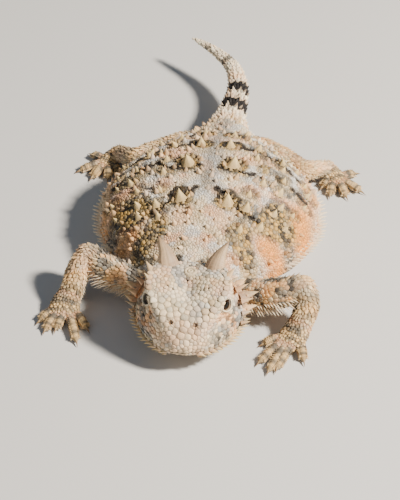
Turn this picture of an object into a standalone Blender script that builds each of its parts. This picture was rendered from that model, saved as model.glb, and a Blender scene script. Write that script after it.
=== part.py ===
"""Horned lizard at rest on a flat floor, life size, facing -Y with +Z up.

Every size below is in millimetres in the animal's own frame: x = 0 is its middle plane, +x its left
side, and z = 0 the floor. The last step moves the whole animal so that the middle of the floor under
it is the origin, and every mesh is in metres.
"""

import math
import random

import bmesh
import bpy
import numpy as np
from mathutils import Matrix, Vector
from mathutils.bvhtree import BVHTree

MM = 0.001
GAP = 0.3
WELD = 1e-6
SEED = 7

# Trunk and neck rows: y, half width, top, height of the side edge, belly
TRUNK = (
    (-27.0, 11.0, 14.6, 8.2, 4.8),
    (-23.5, 15.4, 15.6, 7.2, 3.4),
    (-18.0, 19.4, 16.8, 6.0, 1.8),
    (-12.0, 22.4, 17.8, 5.0, 0.6),
    (-5.0, 24.2, 18.3, 4.5, -0.1),
    (1.5, 24.3, 18.1, 4.3, -0.3),
    (8.0, 22.4, 16.8, 4.3, -0.3),
    (14.0, 18.8, 14.8, 4.4, -0.3),
    (19.0, 14.6, 12.5, 4.6, -0.2),
    (24.0, 10.6, 10.5, 4.7, 0.2),
    (28.0, 7.6, 9.3, 4.8, 0.8),
    (31.0, 5.2, 8.4, 4.9, 1.4),
)
NECK = (
    (-34.0, 8.6, 13.4, 9.0, 5.2),
    (-30.5, 9.2, 13.9, 8.7, 5.0),
    (-27.0, 11.0, 14.6, 8.2, 4.8),
)
TOP_FULLNESS = 1.9
BELLY_FULLNESS = 3.2

# Head rows: y, top, brow half width and height, eye wall half width and height,
# cheek half width and height, jaw edge half width and height, chin
HEAD = (
    (-30.6, 14.9, 5.0, 14.6, 6.8, 12.0, 8.6, 8.8, 7.2, 6.6, 5.0),
    (-32.4, 15.6, 6.4, 15.6, 8.4, 12.4, 10.6, 8.8, 9.8, 5.9, 4.2),
    (-34.6, 15.7, 7.4, 16.1, 9.0, 12.5, 11.4, 8.5, 10.9, 5.4, 3.8),
    (-37.6, 15.2, 8.2, 16.2, 8.7, 12.2, 11.0, 8.1, 10.8, 5.1, 3.6),
    (-40.6, 14.5, 8.2, 15.3, 8.0, 11.7, 10.1, 7.7, 10.0, 4.9, 3.6),
    (-43.2, 13.6, 6.9, 13.9, 7.1, 11.0, 8.9, 7.4, 8.6, 4.8, 3.7),
    (-45.4, 12.6, 5.4, 12.5, 6.0, 10.2, 7.4, 7.1, 7.0, 4.8, 3.9),
    (-47.2, 11.1, 4.0, 10.8, 4.7, 9.2, 5.7, 6.8, 5.2, 4.9, 4.3),
    (-48.6, 9.3, 2.6, 9.0, 3.2, 8.0, 3.8, 6.6, 3.3, 5.2, 4.9),
    (-49.5, 7.6, 1.2, 7.4, 1.4, 6.9, 1.6, 6.3, 1.3, 5.7, 5.6),
)

EYE_CENTRE = (6.7, -40.2, 12.1)
EYE_RADIUS = 2.0
LID_THICKNESS = 0.55
GAZE = (0.80, -0.50, 0.33)
EYE_SLIT = (1.75, 1.05)
EYE_SLIT_TILT = 6
NOSTRIL = (2.3, -46.9)
NOSTRIL_RADIUS = 0.5
MOUTH_ROWS = (-37.5, -39.5, -41.5, -43.5, -45.5, -47.2, -48.6)
MOUTH_GROOVE = 0.3

# Horn rows: x, y, z of the middle line, half width, half thickness
HORN = (
    (4.5, -33.6, 13.9, 2.5, 1.8),
    (5.0, -32.6, 15.9, 2.15, 1.5),
    (5.7, -31.3, 17.5, 1.4, 1.05),
    (6.6, -30.2, 18.8, 0.7, 0.6),
    (7.3, -29.4, 19.8, 0.12, 0.12),
)

# Head spines: x, y, z of the tip, x, y, z of the root, half width at the root
HEAD_SPINES = (
    ((8.9, -35.0, 16.9), (7.0, -37.2, 15.0), 1.5),
    ((12.1, -31.4, 12.9), (8.8, -34.2, 11.6), 1.5),
    ((14.6, -32.6, 10.2), (10.4, -35.0, 9.6), 1.6),
    ((14.4, -34.2, 7.8), (10.6, -36.4, 7.4), 1.3),
    ((13.4, -36.2, 5.7), (10.4, -38.2, 6.0), 1.0),
)
JAW_SPINES = 9
JAW_SPINE_ROWS = (-38.6, -48.2)
JAW_SPINE_LENGTH = 1.3

# Tail middle line and thickness: x, y, z, half width, half height
TAIL = (
    (0.0, 29.0, 4.9, 5.4, 3.5),
    (0.0, 31.0, 4.9, 5.0, 3.4),
    (0.2, 35.5, 5.3, 3.7, 2.8),
    (0.9, 41.0, 6.2, 2.8, 2.2),
    (0.9, 46.3, 7.4, 2.25, 1.8),
    (-0.8, 51.6, 8.5, 1.8, 1.45),
    (-4.5, 56.2, 9.1, 1.35, 1.1),
    (-8.5, 59.8, 9.3, 0.9, 0.8),
    (-11.8, 62.4, 9.1, 0.4, 0.35),
)
TAIL_SPLIT = 4

# Limb rows: x, y, z, half width, half height. The left limbs have positive x.
ARM_RIGHT = (
    (-9.0, -26.0, 5.2, 3.0, 3.0),
    (-13.8, -26.4, 5.6, 3.2, 3.2),
    (-18.8, -25.6, 7.2, 3.0, 3.1),
    (-23.2, -23.6, 8.9, 2.5, 2.5),
    (-25.0, -26.2, 6.9, 2.5, 2.3),
    (-26.2, -30.0, 3.6, 2.5, 2.0),
    (-26.9, -32.6, 2.2, 3.3, 1.6),
    (-26.9, -34.4, 1.4, 3.3, 1.2),
)
ARM_LEFT = (
    (9.0, -27.0, 5.4, 3.0, 3.0),
    (13.2, -28.6, 6.0, 3.3, 3.2),
    (18.2, -29.4, 7.4, 3.2, 3.2),
    (22.8, -28.6, 8.7, 2.6, 2.6),
    (24.0, -31.0, 6.5, 2.6, 2.3),
    (23.2, -34.0, 4.0, 2.6, 2.0),
    (22.0, -36.4, 2.4, 3.2, 1.6),
    (21.0, -38.0, 1.5, 3.2, 1.2),
)
LEG_LEFT = (
    (5.0, 24.6, 5.0, 3.4, 3.0),
    (9.6, 22.8, 5.3, 3.6, 3.2),
    (14.6, 19.6, 5.4, 3.2, 2.9),
    (18.9, 17.4, 5.2, 2.3, 2.4),
    (21.8, 19.8, 3.9, 2.0, 2.0),
    (24.2, 22.6, 2.5, 1.7, 1.7),
    (25.6, 21.4, 1.8, 2.0, 1.5),
    (26.8, 19.6, 1.3, 2.2, 1.1),
)
ELBOW, WRIST = 3, 5
ROUNDING = (35, 62, 82)

# Fingers and toes: x and y of the root, x and y of the claw's tip
HAND_RIGHT = (
    ((-29.2, -33.2), (-32.6, -38.0)),
    ((-28.4, -34.2), (-30.5, -41.0)),
    ((-27.0, -34.8), (-28.2, -40.4)),
    ((-25.6, -34.8), (-22.5, -43.7)),
    ((-24.6, -33.8), (-20.6, -39.2)),
)
HAND_LEFT = (
    ((18.8, -36.6), (14.4, -39.2)),
    ((19.4, -38.2), (14.6, -45.4)),
    ((20.4, -38.8), (17.1, -48.1)),
    ((21.6, -38.6), (18.8, -47.2)),
    ((23.2, -37.4), (24.8, -44.0)),
)
FOOT_LEFT = (
    ((25.2, 20.4), (22.6, 16.4)),
    ((25.8, 19.4), (25.2, 13.4)),
    ((27.0, 19.0), (29.6, 13.6)),
    ((27.8, 19.8), (33.4, 16.4)),
    ((27.4, 21.4), (31.6, 24.6)),
)
DIGIT_RADIUS = 0.95
CLAW_LENGTH = 1.9
CLAW_RADIUS = 0.5

# Side fringe and cone scales of the back
FRINGE_ROWS = (-19.5, 11.5)
FRINGE_STEP = 1.25
FRINGE_LENGTH = 1.5
# y, share of the half width, height
BACK_CONES = (
    (-12.4, 0.21, 2.2),
    (-0.2, 0.19, 2.3),
    (9.4, 0.14, 2.0),
    (18.0, 0.20, 1.7),
)
CONE_LINES = (
    # share of the half width, first y, last y, step, height
    (0.42, -18.0, 20.5, 4.8, 1.5),
    (0.62, -16.5, 14.0, 4.3, 1.5),
    (0.80, -13.0, 8.5, 4.3, 1.2),
)

BODY_COLOURS = {
    "sand_skin": ((0.62, 0.47, 0.37, 1.0), 0.85),
    "horn": ((0.55, 0.40, 0.29, 1.0), 0.55),
    "eye": ((0.02, 0.015, 0.012, 1.0), 0.15),
}


def curve_value(keys, values, at):
    """Value at a key on the smooth curve through the given keys, flat or even at its ends."""
    keys = np.asarray(keys, float)
    values = np.asarray(values, float)
    slopes = np.gradient(values, keys, axis=0)
    i = int(np.clip(np.searchsorted(keys, at) - 1, 0, len(keys) - 2))
    span = keys[i + 1] - keys[i]
    t = np.clip((at - keys[i]) / span, 0, 1)
    a = 2 * t**3 - 3 * t**2 + 1
    b = t**3 - 2 * t**2 + t
    c = -2 * t**3 + 3 * t**2
    d = t**3 - t**2
    return a * values[i] + b * span * slopes[i] + c * values[i + 1] + d * span * slopes[i + 1]


def rows_at(table, y):
    """The sizes of a table of rows, whose first column is y, at any y between them."""
    rows = np.asarray(sorted(table), float)
    return curve_value(rows[:, 0], rows[:, 1:], y)


def trunk_ring(table, y, count=28, grow=0.0):
    """One section of the trunk or neck: a low dome over a flatter belly, meeting at the side edge."""
    half, top, edge, belly = rows_at(table, y)
    half, top, belly = half + grow, top + grow, belly - grow
    ring = []
    for i in range(count):
        angle = 2 * math.pi * i / count
        c, s = math.cos(angle), math.sin(angle)
        power = 2 / (TOP_FULLNESS if s >= 0 else BELLY_FULLNESS)
        rise = top - edge if s >= 0 else edge - belly
        x = half * math.copysign(abs(c) ** power, c)
        ring.append((x, y, edge + rise * math.copysign(abs(s) ** power, s)))
    return ring


def head_ring(y, steps=2, grow=0.0):
    """One section of the head: a smooth closed line through the crown, brow, cheek, jaw and chin."""
    top, brow, brow_z, wall, wall_z, cheek, cheek_z, jaw, jaw_z, chin = rows_at(HEAD, y)
    half = (
        (0.5 * brow, 0.5 * (top + brow_z)),
        (brow, brow_z),
        (wall, wall_z),
        (cheek, cheek_z),
        (jaw, jaw_z),
        (0.55 * jaw, chin + 0.15 * (jaw_z - chin)),
    )
    loop = [(0, top), *half, (0, chin), *[(-x, z) for x, z in reversed(half)]]
    loop = np.asarray(loop)
    middle = np.array([0, 0.5 * (top + chin)])
    ring = []
    for i in range(len(loop)):
        before, here, after, later = (loop[(i + k) % len(loop)] for k in (-1, 0, 1, 2))
        for j in range(steps):
            t = j / steps
            x, z = 0.5 * (
                2 * here
                + (after - before) * t
                + (2 * before - 5 * here + 4 * after - later) * t**2
                + (3 * here - before - 3 * after + later) * t**3
            )
            out = np.array([x, z]) - middle
            x, z = np.array([x, z]) + grow * out / max(np.linalg.norm(out), 1e-6)
            ring.append((x, y, z))
    return ring


def tube_rings(rows, start, end, count, sides, grow=0.0):
    """Elliptical sections along the smooth line through the rows, from one row number to another."""
    rows = np.asarray(rows, float)
    keys = np.arange(len(rows))
    rings = []
    for t in np.linspace(start, end, count):
        row = curve_value(keys, rows, t)
        ahead = curve_value(keys, rows, min(t + 0.02, len(rows) - 1))[:3]
        behind = curve_value(keys, rows, max(t - 0.02, 0))[:3]
        along = Vector(ahead - behind).normalized()
        side = along.cross(Vector((0, 0, 1))).normalized()
        up = side.cross(along)
        middle = Vector(row[:3])
        rings.append(
            [
                middle + side * ((row[3] + grow) * math.cos(a)) + up * ((row[4] + grow) * math.sin(a))
                for a in (2 * math.pi * i / sides for i in range(sides))
            ]
        )
    return rings


def mesh_object(name, bm):
    """A linked object with this mesh, its faces turned outwards."""
    bmesh.ops.recalc_face_normals(bm, faces=bm.faces)
    if bm.calc_volume(signed=True) < 0:
        bmesh.ops.reverse_faces(bm, faces=bm.faces)
    mesh = bpy.data.meshes.new(name)
    bm.to_mesh(mesh)
    bm.free()
    obj = bpy.data.objects.new(name, mesh)
    bpy.context.scene.collection.objects.link(obj)
    return obj


def loft(name, rings):
    """A closed skin over sections that all have the same number of points, in millimetres."""
    bm = bmesh.new()
    made = [[bm.verts.new(Vector(p) * MM) for p in ring] for ring in rings]
    count = len(made[0])
    for ring, following in zip(made, made[1:]):
        for i in range(count):
            j = (i + 1) % count
            bm.faces.new((ring[i], ring[j], following[j], following[i]))
    for ring in (made[0], made[-1]):
        middle = bm.verts.new(sum((v.co for v in ring), Vector()) / count)
        for i in range(count):
            bm.faces.new((ring[i], ring[(i + 1) % count], middle))
    return mesh_object(name, bm)


def spike(tip, root, half_width, half_thickness, sides=4, flat=(0, 0, 1)):
    """A pointed scale from a root sunk in the body to its tip, flattened across the given direction."""
    along = (Vector(tip) - Vector(root)).normalized()
    wide = along.cross(Vector(flat)).normalized()
    thick = wide.cross(along)
    ring = []
    for i in range(sides):
        angle = 2 * math.pi * i / sides
        across = wide * (half_width * math.cos(angle)) + thick * (half_thickness * math.sin(angle))
        ring.append(Vector(root) + across)
    bm = bmesh.new()
    base = [bm.verts.new(p * MM) for p in ring]
    point = bm.verts.new(Vector(tip) * MM)
    bm.faces.new(base)
    for i in range(sides):
        bm.faces.new((base[i], base[(i + 1) % sides], point))
    return mesh_object("spike", bm)


def apply_boolean(obj, others, operation, solver="EXACT"):
    """Joins or cuts by a collection of closed meshes, applies it, and removes those meshes."""
    group = bpy.data.collections.new("pieces")
    for other in others:
        group.objects.link(other)
    modifier = obj.modifiers.new("join", "BOOLEAN")
    modifier.operation = operation
    modifier.operand_type = "COLLECTION"
    modifier.collection = group
    modifier.solver = solver
    graph = bpy.context.evaluated_depsgraph_get()
    mesh = bpy.data.meshes.new_from_object(obj.evaluated_get(graph))
    obj.modifiers.remove(modifier)
    obj.data = mesh
    for other in others:
        bpy.data.objects.remove(other)
    bpy.data.collections.remove(group)
    keep_largest(obj)
    return obj


def keep_largest(obj):
    """Leaves only the largest closed surface of a mesh."""
    bm = bmesh.new()
    bm.from_mesh(obj.data)
    bmesh.ops.remove_doubles(bm, verts=bm.verts, dist=WELD)
    bmesh.ops.dissolve_degenerate(bm, edges=bm.edges, dist=WELD)
    bmesh.ops.triangulate(bm, faces=bm.faces)
    left = set(bm.faces)
    shells = []
    while left:
        shell = [left.pop()]
        for face in shell:
            near = {other for edge in face.edges for other in edge.link_faces} & left
            left -= near
            shell.extend(near)
        shells.append(shell)
    largest = set(max(shells, key=lambda shell: abs(sum(six_volumes(face) for face in shell))))
    bmesh.ops.delete(bm, geom=[face for face in bm.faces if face not in largest], context="FACES")
    bm.to_mesh(obj.data)
    bm.free()


def six_volumes(face):
    """Six times the signed volume between a triangle and the origin."""
    a, b, c = (v.co for v in face.verts)
    return a.dot(b.cross(c))


def surface_of(obj):
    """A search tree over an object's faces, in metres."""
    bm = bmesh.new()
    bm.from_mesh(obj.data)
    tree = BVHTree.FromBMesh(bm)
    bm.free()
    return tree


def on_surface(tree, outside, towards):
    """Where a ray from outside meets the surface, and the outward normal there, in millimetres."""
    start = Vector(outside) * MM
    at, normal, _, _ = tree.ray_cast(start, (Vector(towards) * MM - start).normalized())
    return at / MM, normal


def mirrored(point):
    """The same point on the other side of the middle plane."""
    return (-point[0], point[1], point[2])


def floor_cutter():
    """A block under the floor, which leaves small flats where the body touches down."""
    bpy.ops.mesh.primitive_cube_add(size=1)
    block = bpy.context.object
    block.data.transform(
        Matrix.Translation((0, 0, -0.5 * 20 * MM)) @ Matrix.Diagonal((0.4, 0.4, 20 * MM, 1))
    )
    return block


def trunk_loft(grow=0.0, count=28, rows=30):
    """The trunk without its scales, a little larger where it serves as a cutter."""
    first, last = TRUNK[0][0], TRUNK[-1][0]
    rings = [trunk_ring(TRUNK, y, count, grow) for y in np.linspace(first - grow, last + grow, rows)]
    return loft("torso", rings)


def neck_loft(grow=0.0):
    """The neck, from inside the head to the front face of the trunk."""
    last = NECK[-1][0] - GAP + grow
    rings = [trunk_ring(NECK, y, 28, grow) for y in np.linspace(NECK[0][0], last, 5)]
    return loft("neck", rings)


def head_loft(grow=0.0):
    """The head without its spines, a little larger where it serves as a cutter."""
    first, last = HEAD[0][0], HEAD[-1][0]
    reach = np.linspace(0, 1, 18)
    rows = first + grow + (last - first - 2 * grow) * (reach + 0.12 * np.sin(math.pi * reach))
    return loft("head", [head_ring(y, grow=grow) for y in rows])


def fringe(generator):
    """One row of pointed scales along each side edge of the trunk."""
    made = []
    y = FRINGE_ROWS[0]
    while y < FRINGE_ROWS[1]:
        half, _, edge, _ = rows_at(TRUNK, y)
        slope = (rows_at(TRUNK, y + 1)[0] - rows_at(TRUNK, y - 1)[0]) / 2
        out = Vector((1, -slope, 0)).normalized()
        lie = (out + Vector((0, 0.35, 0.12))).normalized()
        length = FRINGE_LENGTH * generator.uniform(0.85, 1.15)
        for side in (1, -1):
            root = Vector((half, y, edge)) - out * 0.9
            tip = root + lie * (length + 0.9)
            points = [tuple(tip), tuple(root)]
            if side < 0:
                points = [mirrored(p) for p in points]
            made.append(spike(points[0], points[1], 0.75, 0.55))
        y += FRINGE_STEP
    return made


def back_cones(tree, generator):
    """Cone scales in lines along the back, the largest in pairs beside the middle line."""
    places = [(y, share, height, 0.0) for y, share, height in BACK_CONES]
    for share, first, last, step, height in CONE_LINES:
        count = int((last - first) / step) + 1
        places += [(first + i * step, share, height, 1.0) for i in range(count)]
    made = []
    for y, share, height, loose in places:
        for side in (1, -1):
            at_y = y + loose * generator.uniform(-1.0, 1.0)
            at_share = share + loose * generator.uniform(-0.05, 0.05)
            x = side * at_share * rows_at(TRUNK, at_y)[0]
            at, normal = on_surface(tree, (x * 1.25, at_y, 40), (x, at_y, 8))
            tall = height * (1 - loose * generator.uniform(0, 0.3))
            lean = (normal + Vector((0, 0.35, 0))).normalized()
            made.append(cone_scale(at, lean, tall))
    return made


def cone_scale(at, lean, tall):
    """A six-sided cone as wide as it is tall, its foot sunk in the skin."""
    foot = 0.75 * tall + 0.4
    return spike(at + lean * tall, at - lean * 0.6, foot, foot, 6, (0, 1, 0.1))


def make_torso():
    """The trunk with its side fringe and the cone scales of the back."""
    generator = random.Random(SEED)
    torso = trunk_loft()
    tree = surface_of(torso)
    pieces = fringe(generator) + back_cones(tree, generator)
    apply_boolean(torso, pieces, "UNION")
    return torso


def eye_axis(side):
    """The direction in which an eye looks."""
    return Vector((side * GAZE[0], GAZE[1], GAZE[2])).normalized()


def ball(name, centre, radius, segments=16, rings=10):
    """A round ball, in millimetres."""
    bpy.ops.mesh.primitive_uv_sphere_add(
        segments=segments, ring_count=rings, radius=radius * MM, location=Vector(centre) * MM
    )
    made = bpy.context.object
    made.name = name
    made.data.transform(made.matrix_world)
    made.matrix_world = Matrix.Identity(4)
    return made


def eye_slit(side):
    """The cutter of the opening between the lids: an oval rod along the line of sight."""
    centre = Vector((side * EYE_CENTRE[0], EYE_CENTRE[1], EYE_CENTRE[2]))
    out = eye_axis(side)
    along = Vector((0, 1, 0)) - out * out.y
    along.normalize()
    up = out.cross(along) * side
    tilt = math.radians(EYE_SLIT_TILT)
    long_way = along * math.cos(tilt) + up * math.sin(tilt)
    short_way = up * math.cos(tilt) - along * math.sin(tilt)
    rings = []
    for reach in (0.6, 4.5):
        middle = centre + out * reach
        rings.append(
            [
                middle
                + long_way * (EYE_SLIT[0] * math.cos(a))
                + short_way * (EYE_SLIT[1] * math.sin(a))
                for a in (2 * math.pi * i / 14 for i in range(14))
            ]
        )
    return loft("slit", rings)


def mouth_cutters(tree):
    """A round groove on each side that follows the line between the lips, joined at the snout."""
    path = []
    for y in MOUTH_ROWS:
        _, _, _, _, _, cheek, cheek_z, _, jaw_z, _ = rows_at(HEAD, y)
        level = 0.5 * (cheek_z + jaw_z)
        path.append(on_surface(tree, (cheek + 8, y - 3, level), (0, y + 2, level))[0])
    front, _ = on_surface(tree, (0, -60, 6.0), (0, -40, 6.0))
    line = path + [front] + [Vector(mirrored(p)) for p in reversed(path)]
    rows = [(*p, MOUTH_GROOVE, MOUTH_GROOVE) for p in line]
    return [loft("groove", tube_rings(rows, 0, len(rows) - 1, 4 * len(rows), 6))]


def head_spines():
    """The large spines of the brow and temple, and the row along the edge of the lower jaw."""
    made = []
    for tip, root, half in HEAD_SPINES:
        for side in (1, -1):
            place = (tip, root) if side > 0 else (mirrored(tip), mirrored(root))
            made.append(spike(place[0], place[1], half, 0.7 * half, 5))
    first, last = JAW_SPINE_ROWS
    for i in range(JAW_SPINES):
        y = first + (last - first) * i / (JAW_SPINES - 1)
        _, _, _, _, _, _, _, jaw, jaw_z, _ = rows_at(HEAD, y)
        out = Vector((1, -0.75 * i / JAW_SPINES, 0)).normalized()
        root = Vector((jaw, y, jaw_z)) - out * 0.7
        tip = root + (out + Vector((0, 0.2, -0.1))).normalized() * (JAW_SPINE_LENGTH + 0.7)
        made.append(spike(tip, root, 0.7, 0.5))
        made.append(spike(mirrored(tip), mirrored(root), 0.7, 0.5))
    return made


def make_head():
    """The head with lids, nostrils, the line of the mouth and its spines."""
    head = head_loft()
    tree = surface_of(head)
    lids = [
        ball("lid", (side * EYE_CENTRE[0], *EYE_CENTRE[1:]), EYE_RADIUS + GAP + LID_THICKNESS)
        for side in (1, -1)
    ]
    apply_boolean(head, lids + head_spines(), "UNION")
    cutters = mouth_cutters(tree)
    for side in (1, -1):
        x, y = side * NOSTRIL[0], NOSTRIL[1]
        at, _ = on_surface(tree, (x * 1.6, y - 8, 20), (x, y, 10.5))
        cutters.append(ball("nostril", at, NOSTRIL_RADIUS, 8, 6))
    apply_boolean(head, cutters, "DIFFERENCE")
    for side in (1, -1):
        socket = ball("socket", (side * EYE_CENTRE[0], *EYE_CENTRE[1:]), EYE_RADIUS + GAP)
        apply_boolean(head, [socket, eye_slit(side)], "DIFFERENCE")
    return head


def make_horn(name, side):
    """One of the two great horns at the back of the head, seated on the crown."""
    rows = [(side * x, y, z, wide, thick) for x, y, z, wide, thick in HORN]
    horn = loft(name, tube_rings(rows, 0, len(rows) - 1, 9, 10))
    return apply_boolean(horn, [head_loft(GAP)], "DIFFERENCE")


def make_neck():
    """The neck, cut to the back of the head."""
    neck = neck_loft()
    return apply_boolean(neck, [head_loft(GAP)], "DIFFERENCE")


def make_tail():
    """The tail in two lengths, with rows of pointed scales along its sides."""
    made = []
    last = len(TAIL) - 1
    cut = GAP / 2 / 6
    for name, start, end, count in (
        ("tail_base", 1 + GAP / 2, TAIL_SPLIT - cut, 8),
        ("tail_tip", TAIL_SPLIT + cut, last, 10),
    ):
        length = loft(name, tube_rings(TAIL, start, end, count, 12))
        pieces = []
        t = start + 0.25
        while t < end - 0.3:
            x, y, z, wide, high = curve_value(range(last + 1), TAIL, t)
            ahead = Vector(curve_value(range(last + 1), TAIL, t + 0.05)[:3]) - Vector((x, y, z))
            along = ahead.normalized()
            side = along.cross(Vector((0, 0, 1))).normalized()
            for way in (1, -1):
                for rise, size in ((0.1, 1.0), (0.75, 0.8)):
                    out = (side * way * (1 - rise) + Vector((0, 0, rise))).normalized()
                    reach = wide * (1 - rise) + high * rise
                    root = Vector((x, y, z)) + out * (reach - 0.7)
                    tip = root + (out + along * 0.7).normalized() * (0.9 + 0.28 * wide * size)
                    pieces.append(spike(tip, root, 0.30 * wide * size, 0.22 * wide * size, 4))
            t += 0.42
        made.append(apply_boolean(length, pieces, "UNION"))
    return made


def limb_spikes(rows, start, end, step, lengths, angles):
    """Pointed scales along a limb, at the given angles round it."""
    rows = np.asarray(rows, float)
    keys = np.arange(len(rows))
    made = []
    t = start
    while t < end:
        x, y, z, wide, high = curve_value(keys, rows, t)
        middle = Vector((x, y, z))
        along = (Vector(curve_value(keys, rows, t + 0.05)[:3]) - middle).normalized()
        side = along.cross(Vector((0, 0, 1))).normalized()
        up = side.cross(along)
        for angle in angles:
            a = math.radians(angle)
            out = side * math.cos(a) + up * math.sin(a)
            reach = 1 / math.hypot(math.cos(a) / wide, math.sin(a) / high)
            root = middle + out * (reach - 0.7)
            tip = root + (out + along * 0.8).normalized() * (0.7 + lengths)
            made.append(spike(tip, root, 0.6, 0.45, 4, out))
        t += step
    return made


def digit(root, tip, height):
    """A finger or toe with its claw, from inside the palm to the claw's tip on the floor."""
    root, tip = Vector((*root, height)), Vector((*tip, 0.35))
    reach = (tip - root).length
    claw = CLAW_LENGTH / reach
    rows = (
        (*root, DIGIT_RADIUS, 0.9 * DIGIT_RADIUS),
        (*root.lerp(tip, 0.35).xy, 1.15, DIGIT_RADIUS, DIGIT_RADIUS),
        (*root.lerp(tip, 0.75 - claw / 2).xy, 0.8, 0.95 * DIGIT_RADIUS, 0.92 * DIGIT_RADIUS),
        (*root.lerp(tip, 1 - claw).xy, 0.7, 0.75 * DIGIT_RADIUS, 0.72 * DIGIT_RADIUS),
    )
    finger = loft("digit", tube_rings(rows, 0, 3, 4, 7))
    nail_root = root.lerp(tip, 1 - claw * 1.35)
    nail_root.z = 0.85
    nail = spike(tip, nail_root, CLAW_RADIUS, CLAW_RADIUS * 1.1, 5)
    return [finger, nail]


def limb_rings(rows, count=6, grow=0.0):
    """Sections along one length of a limb, rounded off past both of its ends."""
    rings = tube_rings(rows, 0, len(rows) - 1, count, 12, grow)
    ends = []
    for ring, inner, row in ((rings[0], rings[1], rows[0]), (rings[-1], rings[-2], rows[-1])):
        middle = sum(ring, Vector()) / len(ring)
        out = (middle - sum(inner, Vector()) / len(inner)).normalized()
        reach = 0.5 * (row[3] + row[4]) + grow
        ends.append(
            [
                [
                    middle + out * (reach * math.sin(a)) + (p - middle) * math.cos(a)
                    for p in ring
                ]
                for a in (math.radians(angle) for angle in ROUNDING)
            ]
        )
    return ends[0][::-1] + rings + ends[1]


def make_limb(names, rows, digits, cutters, spines):
    """An arm or leg in three nodes: the upper length, the lower one, and the hand or foot."""
    upper_rows, lower_rows, end_rows = rows[: ELBOW + 1], rows[ELBOW : WRIST + 1], rows[WRIST:]
    upper = loft(names[0], limb_rings(upper_rows, 7))
    apply_boolean(upper, limb_spikes(upper_rows, 1.4, 2.4, 0.33, 0.8, spines[0]), "UNION")
    apply_boolean(upper, cutters, "DIFFERENCE")
    lower = loft(names[1], limb_rings(lower_rows))
    apply_boolean(lower, limb_spikes(lower_rows, 0.5, 1.5, 0.3, 0.8, spines[1]), "UNION")
    apply_boolean(lower, [loft("elbow", limb_rings(upper_rows, 7, GAP))], "DIFFERENCE")
    end = loft(names[2], limb_rings(end_rows, 4))
    pieces = [piece for root, tip in digits for piece in digit(root, tip, 1.35)]
    apply_boolean(end, pieces, "UNION")
    apply_boolean(end, [loft("wrist", limb_rings(lower_rows, 6, GAP))], "DIFFERENCE")
    apply_boolean(end, [floor_cutter()], "DIFFERENCE")
    return [upper, lower, end]


def mirror_rows(rows):
    """Limb rows of the other side of the body."""
    return tuple((-row[0], *row[1:]) for row in rows)


def mirror_digits(digits):
    """Roots and tips of the digits of the other side of the body."""
    return tuple(tuple((-p[0], p[1]) for p in pair) for pair in digits)


def material(name):
    """A principled surface with the colour and roughness of that slot."""
    found = bpy.data.materials.get(name)
    if found:
        return found
    colour, roughness = BODY_COLOURS[name]
    made = bpy.data.materials.new(name)
    made.use_nodes = True
    surface = made.node_tree.nodes["Principled BSDF"]
    surface.inputs["Base Color"].default_value = colour
    surface.inputs["Roughness"].default_value = roughness
    surface.inputs["Metallic"].default_value = 0.0
    made.diffuse_color = colour
    return made


def stand_on_origin(parts):
    """Moves all parts so that the middle of the floor under them is the origin."""
    corners = np.array([v.co for part in parts for v in part.data.vertices])
    low, high = corners.min(0), corners.max(0)
    shift = Vector((-(low[0] + high[0]) / 2, -(low[1] + high[1]) / 2, -low[2]))
    for part in parts:
        part.data.transform(Matrix.Translation(shift))
    print("shift in mm:", [round(v / MM, 4) for v in shift])


def main():
    """Builds every part and puts them in one collection."""
    for obj in list(bpy.data.objects):
        bpy.data.objects.remove(obj)
    torso = make_torso()
    apply_boolean(torso, [floor_cutter()], "DIFFERENCE")
    parts = [torso, make_neck(), make_head(), *make_tail()]
    for side, word in ((1, "left"), (-1, "right")):
        parts.append(make_horn(f"horn_{word}", side))
        parts.append(ball(f"eye_{word}", (side * EYE_CENTRE[0], *EYE_CENTRE[1:]), EYE_RADIUS))
    leg_right, foot_right = mirror_rows(LEG_LEFT), mirror_digits(FOOT_LEFT)
    limbs = (
        ("arm_right", ARM_RIGHT, HAND_RIGHT, ((-20, 90, 160), (20, 90, 150))),
        ("arm_left", ARM_LEFT, HAND_LEFT, ((-160, 90, 20), (30, 90, 160))),
        ("leg_left", LEG_LEFT, FOOT_LEFT, ((45, 100), (40, 110))),
        ("leg_right", leg_right, foot_right, ((135, 80), (140, 70))),
    )
    for name, rows, digits, spines in limbs:
        kind, side = name.split("_")
        words = ("upper_arm", "forearm", "hand") if kind == "arm" else ("thigh", "shin", "foot")
        cutters = [trunk_loft(GAP), neck_loft(GAP)] if kind == "arm" else [trunk_loft(GAP)]
        parts += make_limb([f"{word}_{side}" for word in words], rows, digits, cutters, spines)
    stand_on_origin(parts)
    body = bpy.data.collections.new("horned_lizard")
    bpy.context.scene.collection.children.link(body)
    for part in parts:
        for owner in list(part.users_collection):
            owner.objects.unlink(part)
        body.objects.link(part)
        slot = next((s for s in ("horn", "eye") if part.name.startswith(s)), "sand_skin")
        part.data.materials.clear()
        part.data.materials.append(material(slot))
        part.data.shade_smooth()
        part.data.set_sharp_from_angle(angle=math.radians(40))


main()
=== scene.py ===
"""Looks of a desert horned lizard that rests on a flat floor, life size.

Sizes are in millimetres in the animal's own frame, where x = 0 is its middle plane, -y its snout and
z = 0 the floor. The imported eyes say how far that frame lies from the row's, and every mesh is in metres.
"""

import logging
import math
from dataclasses import dataclass, field
from enum import IntEnum
from functools import lru_cache

import bmesh
import bpy
import numpy as np
from mathutils import Matrix, Vector
from mathutils.bvhtree import BVHTree
from mathutils.kdtree import KDTree


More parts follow.
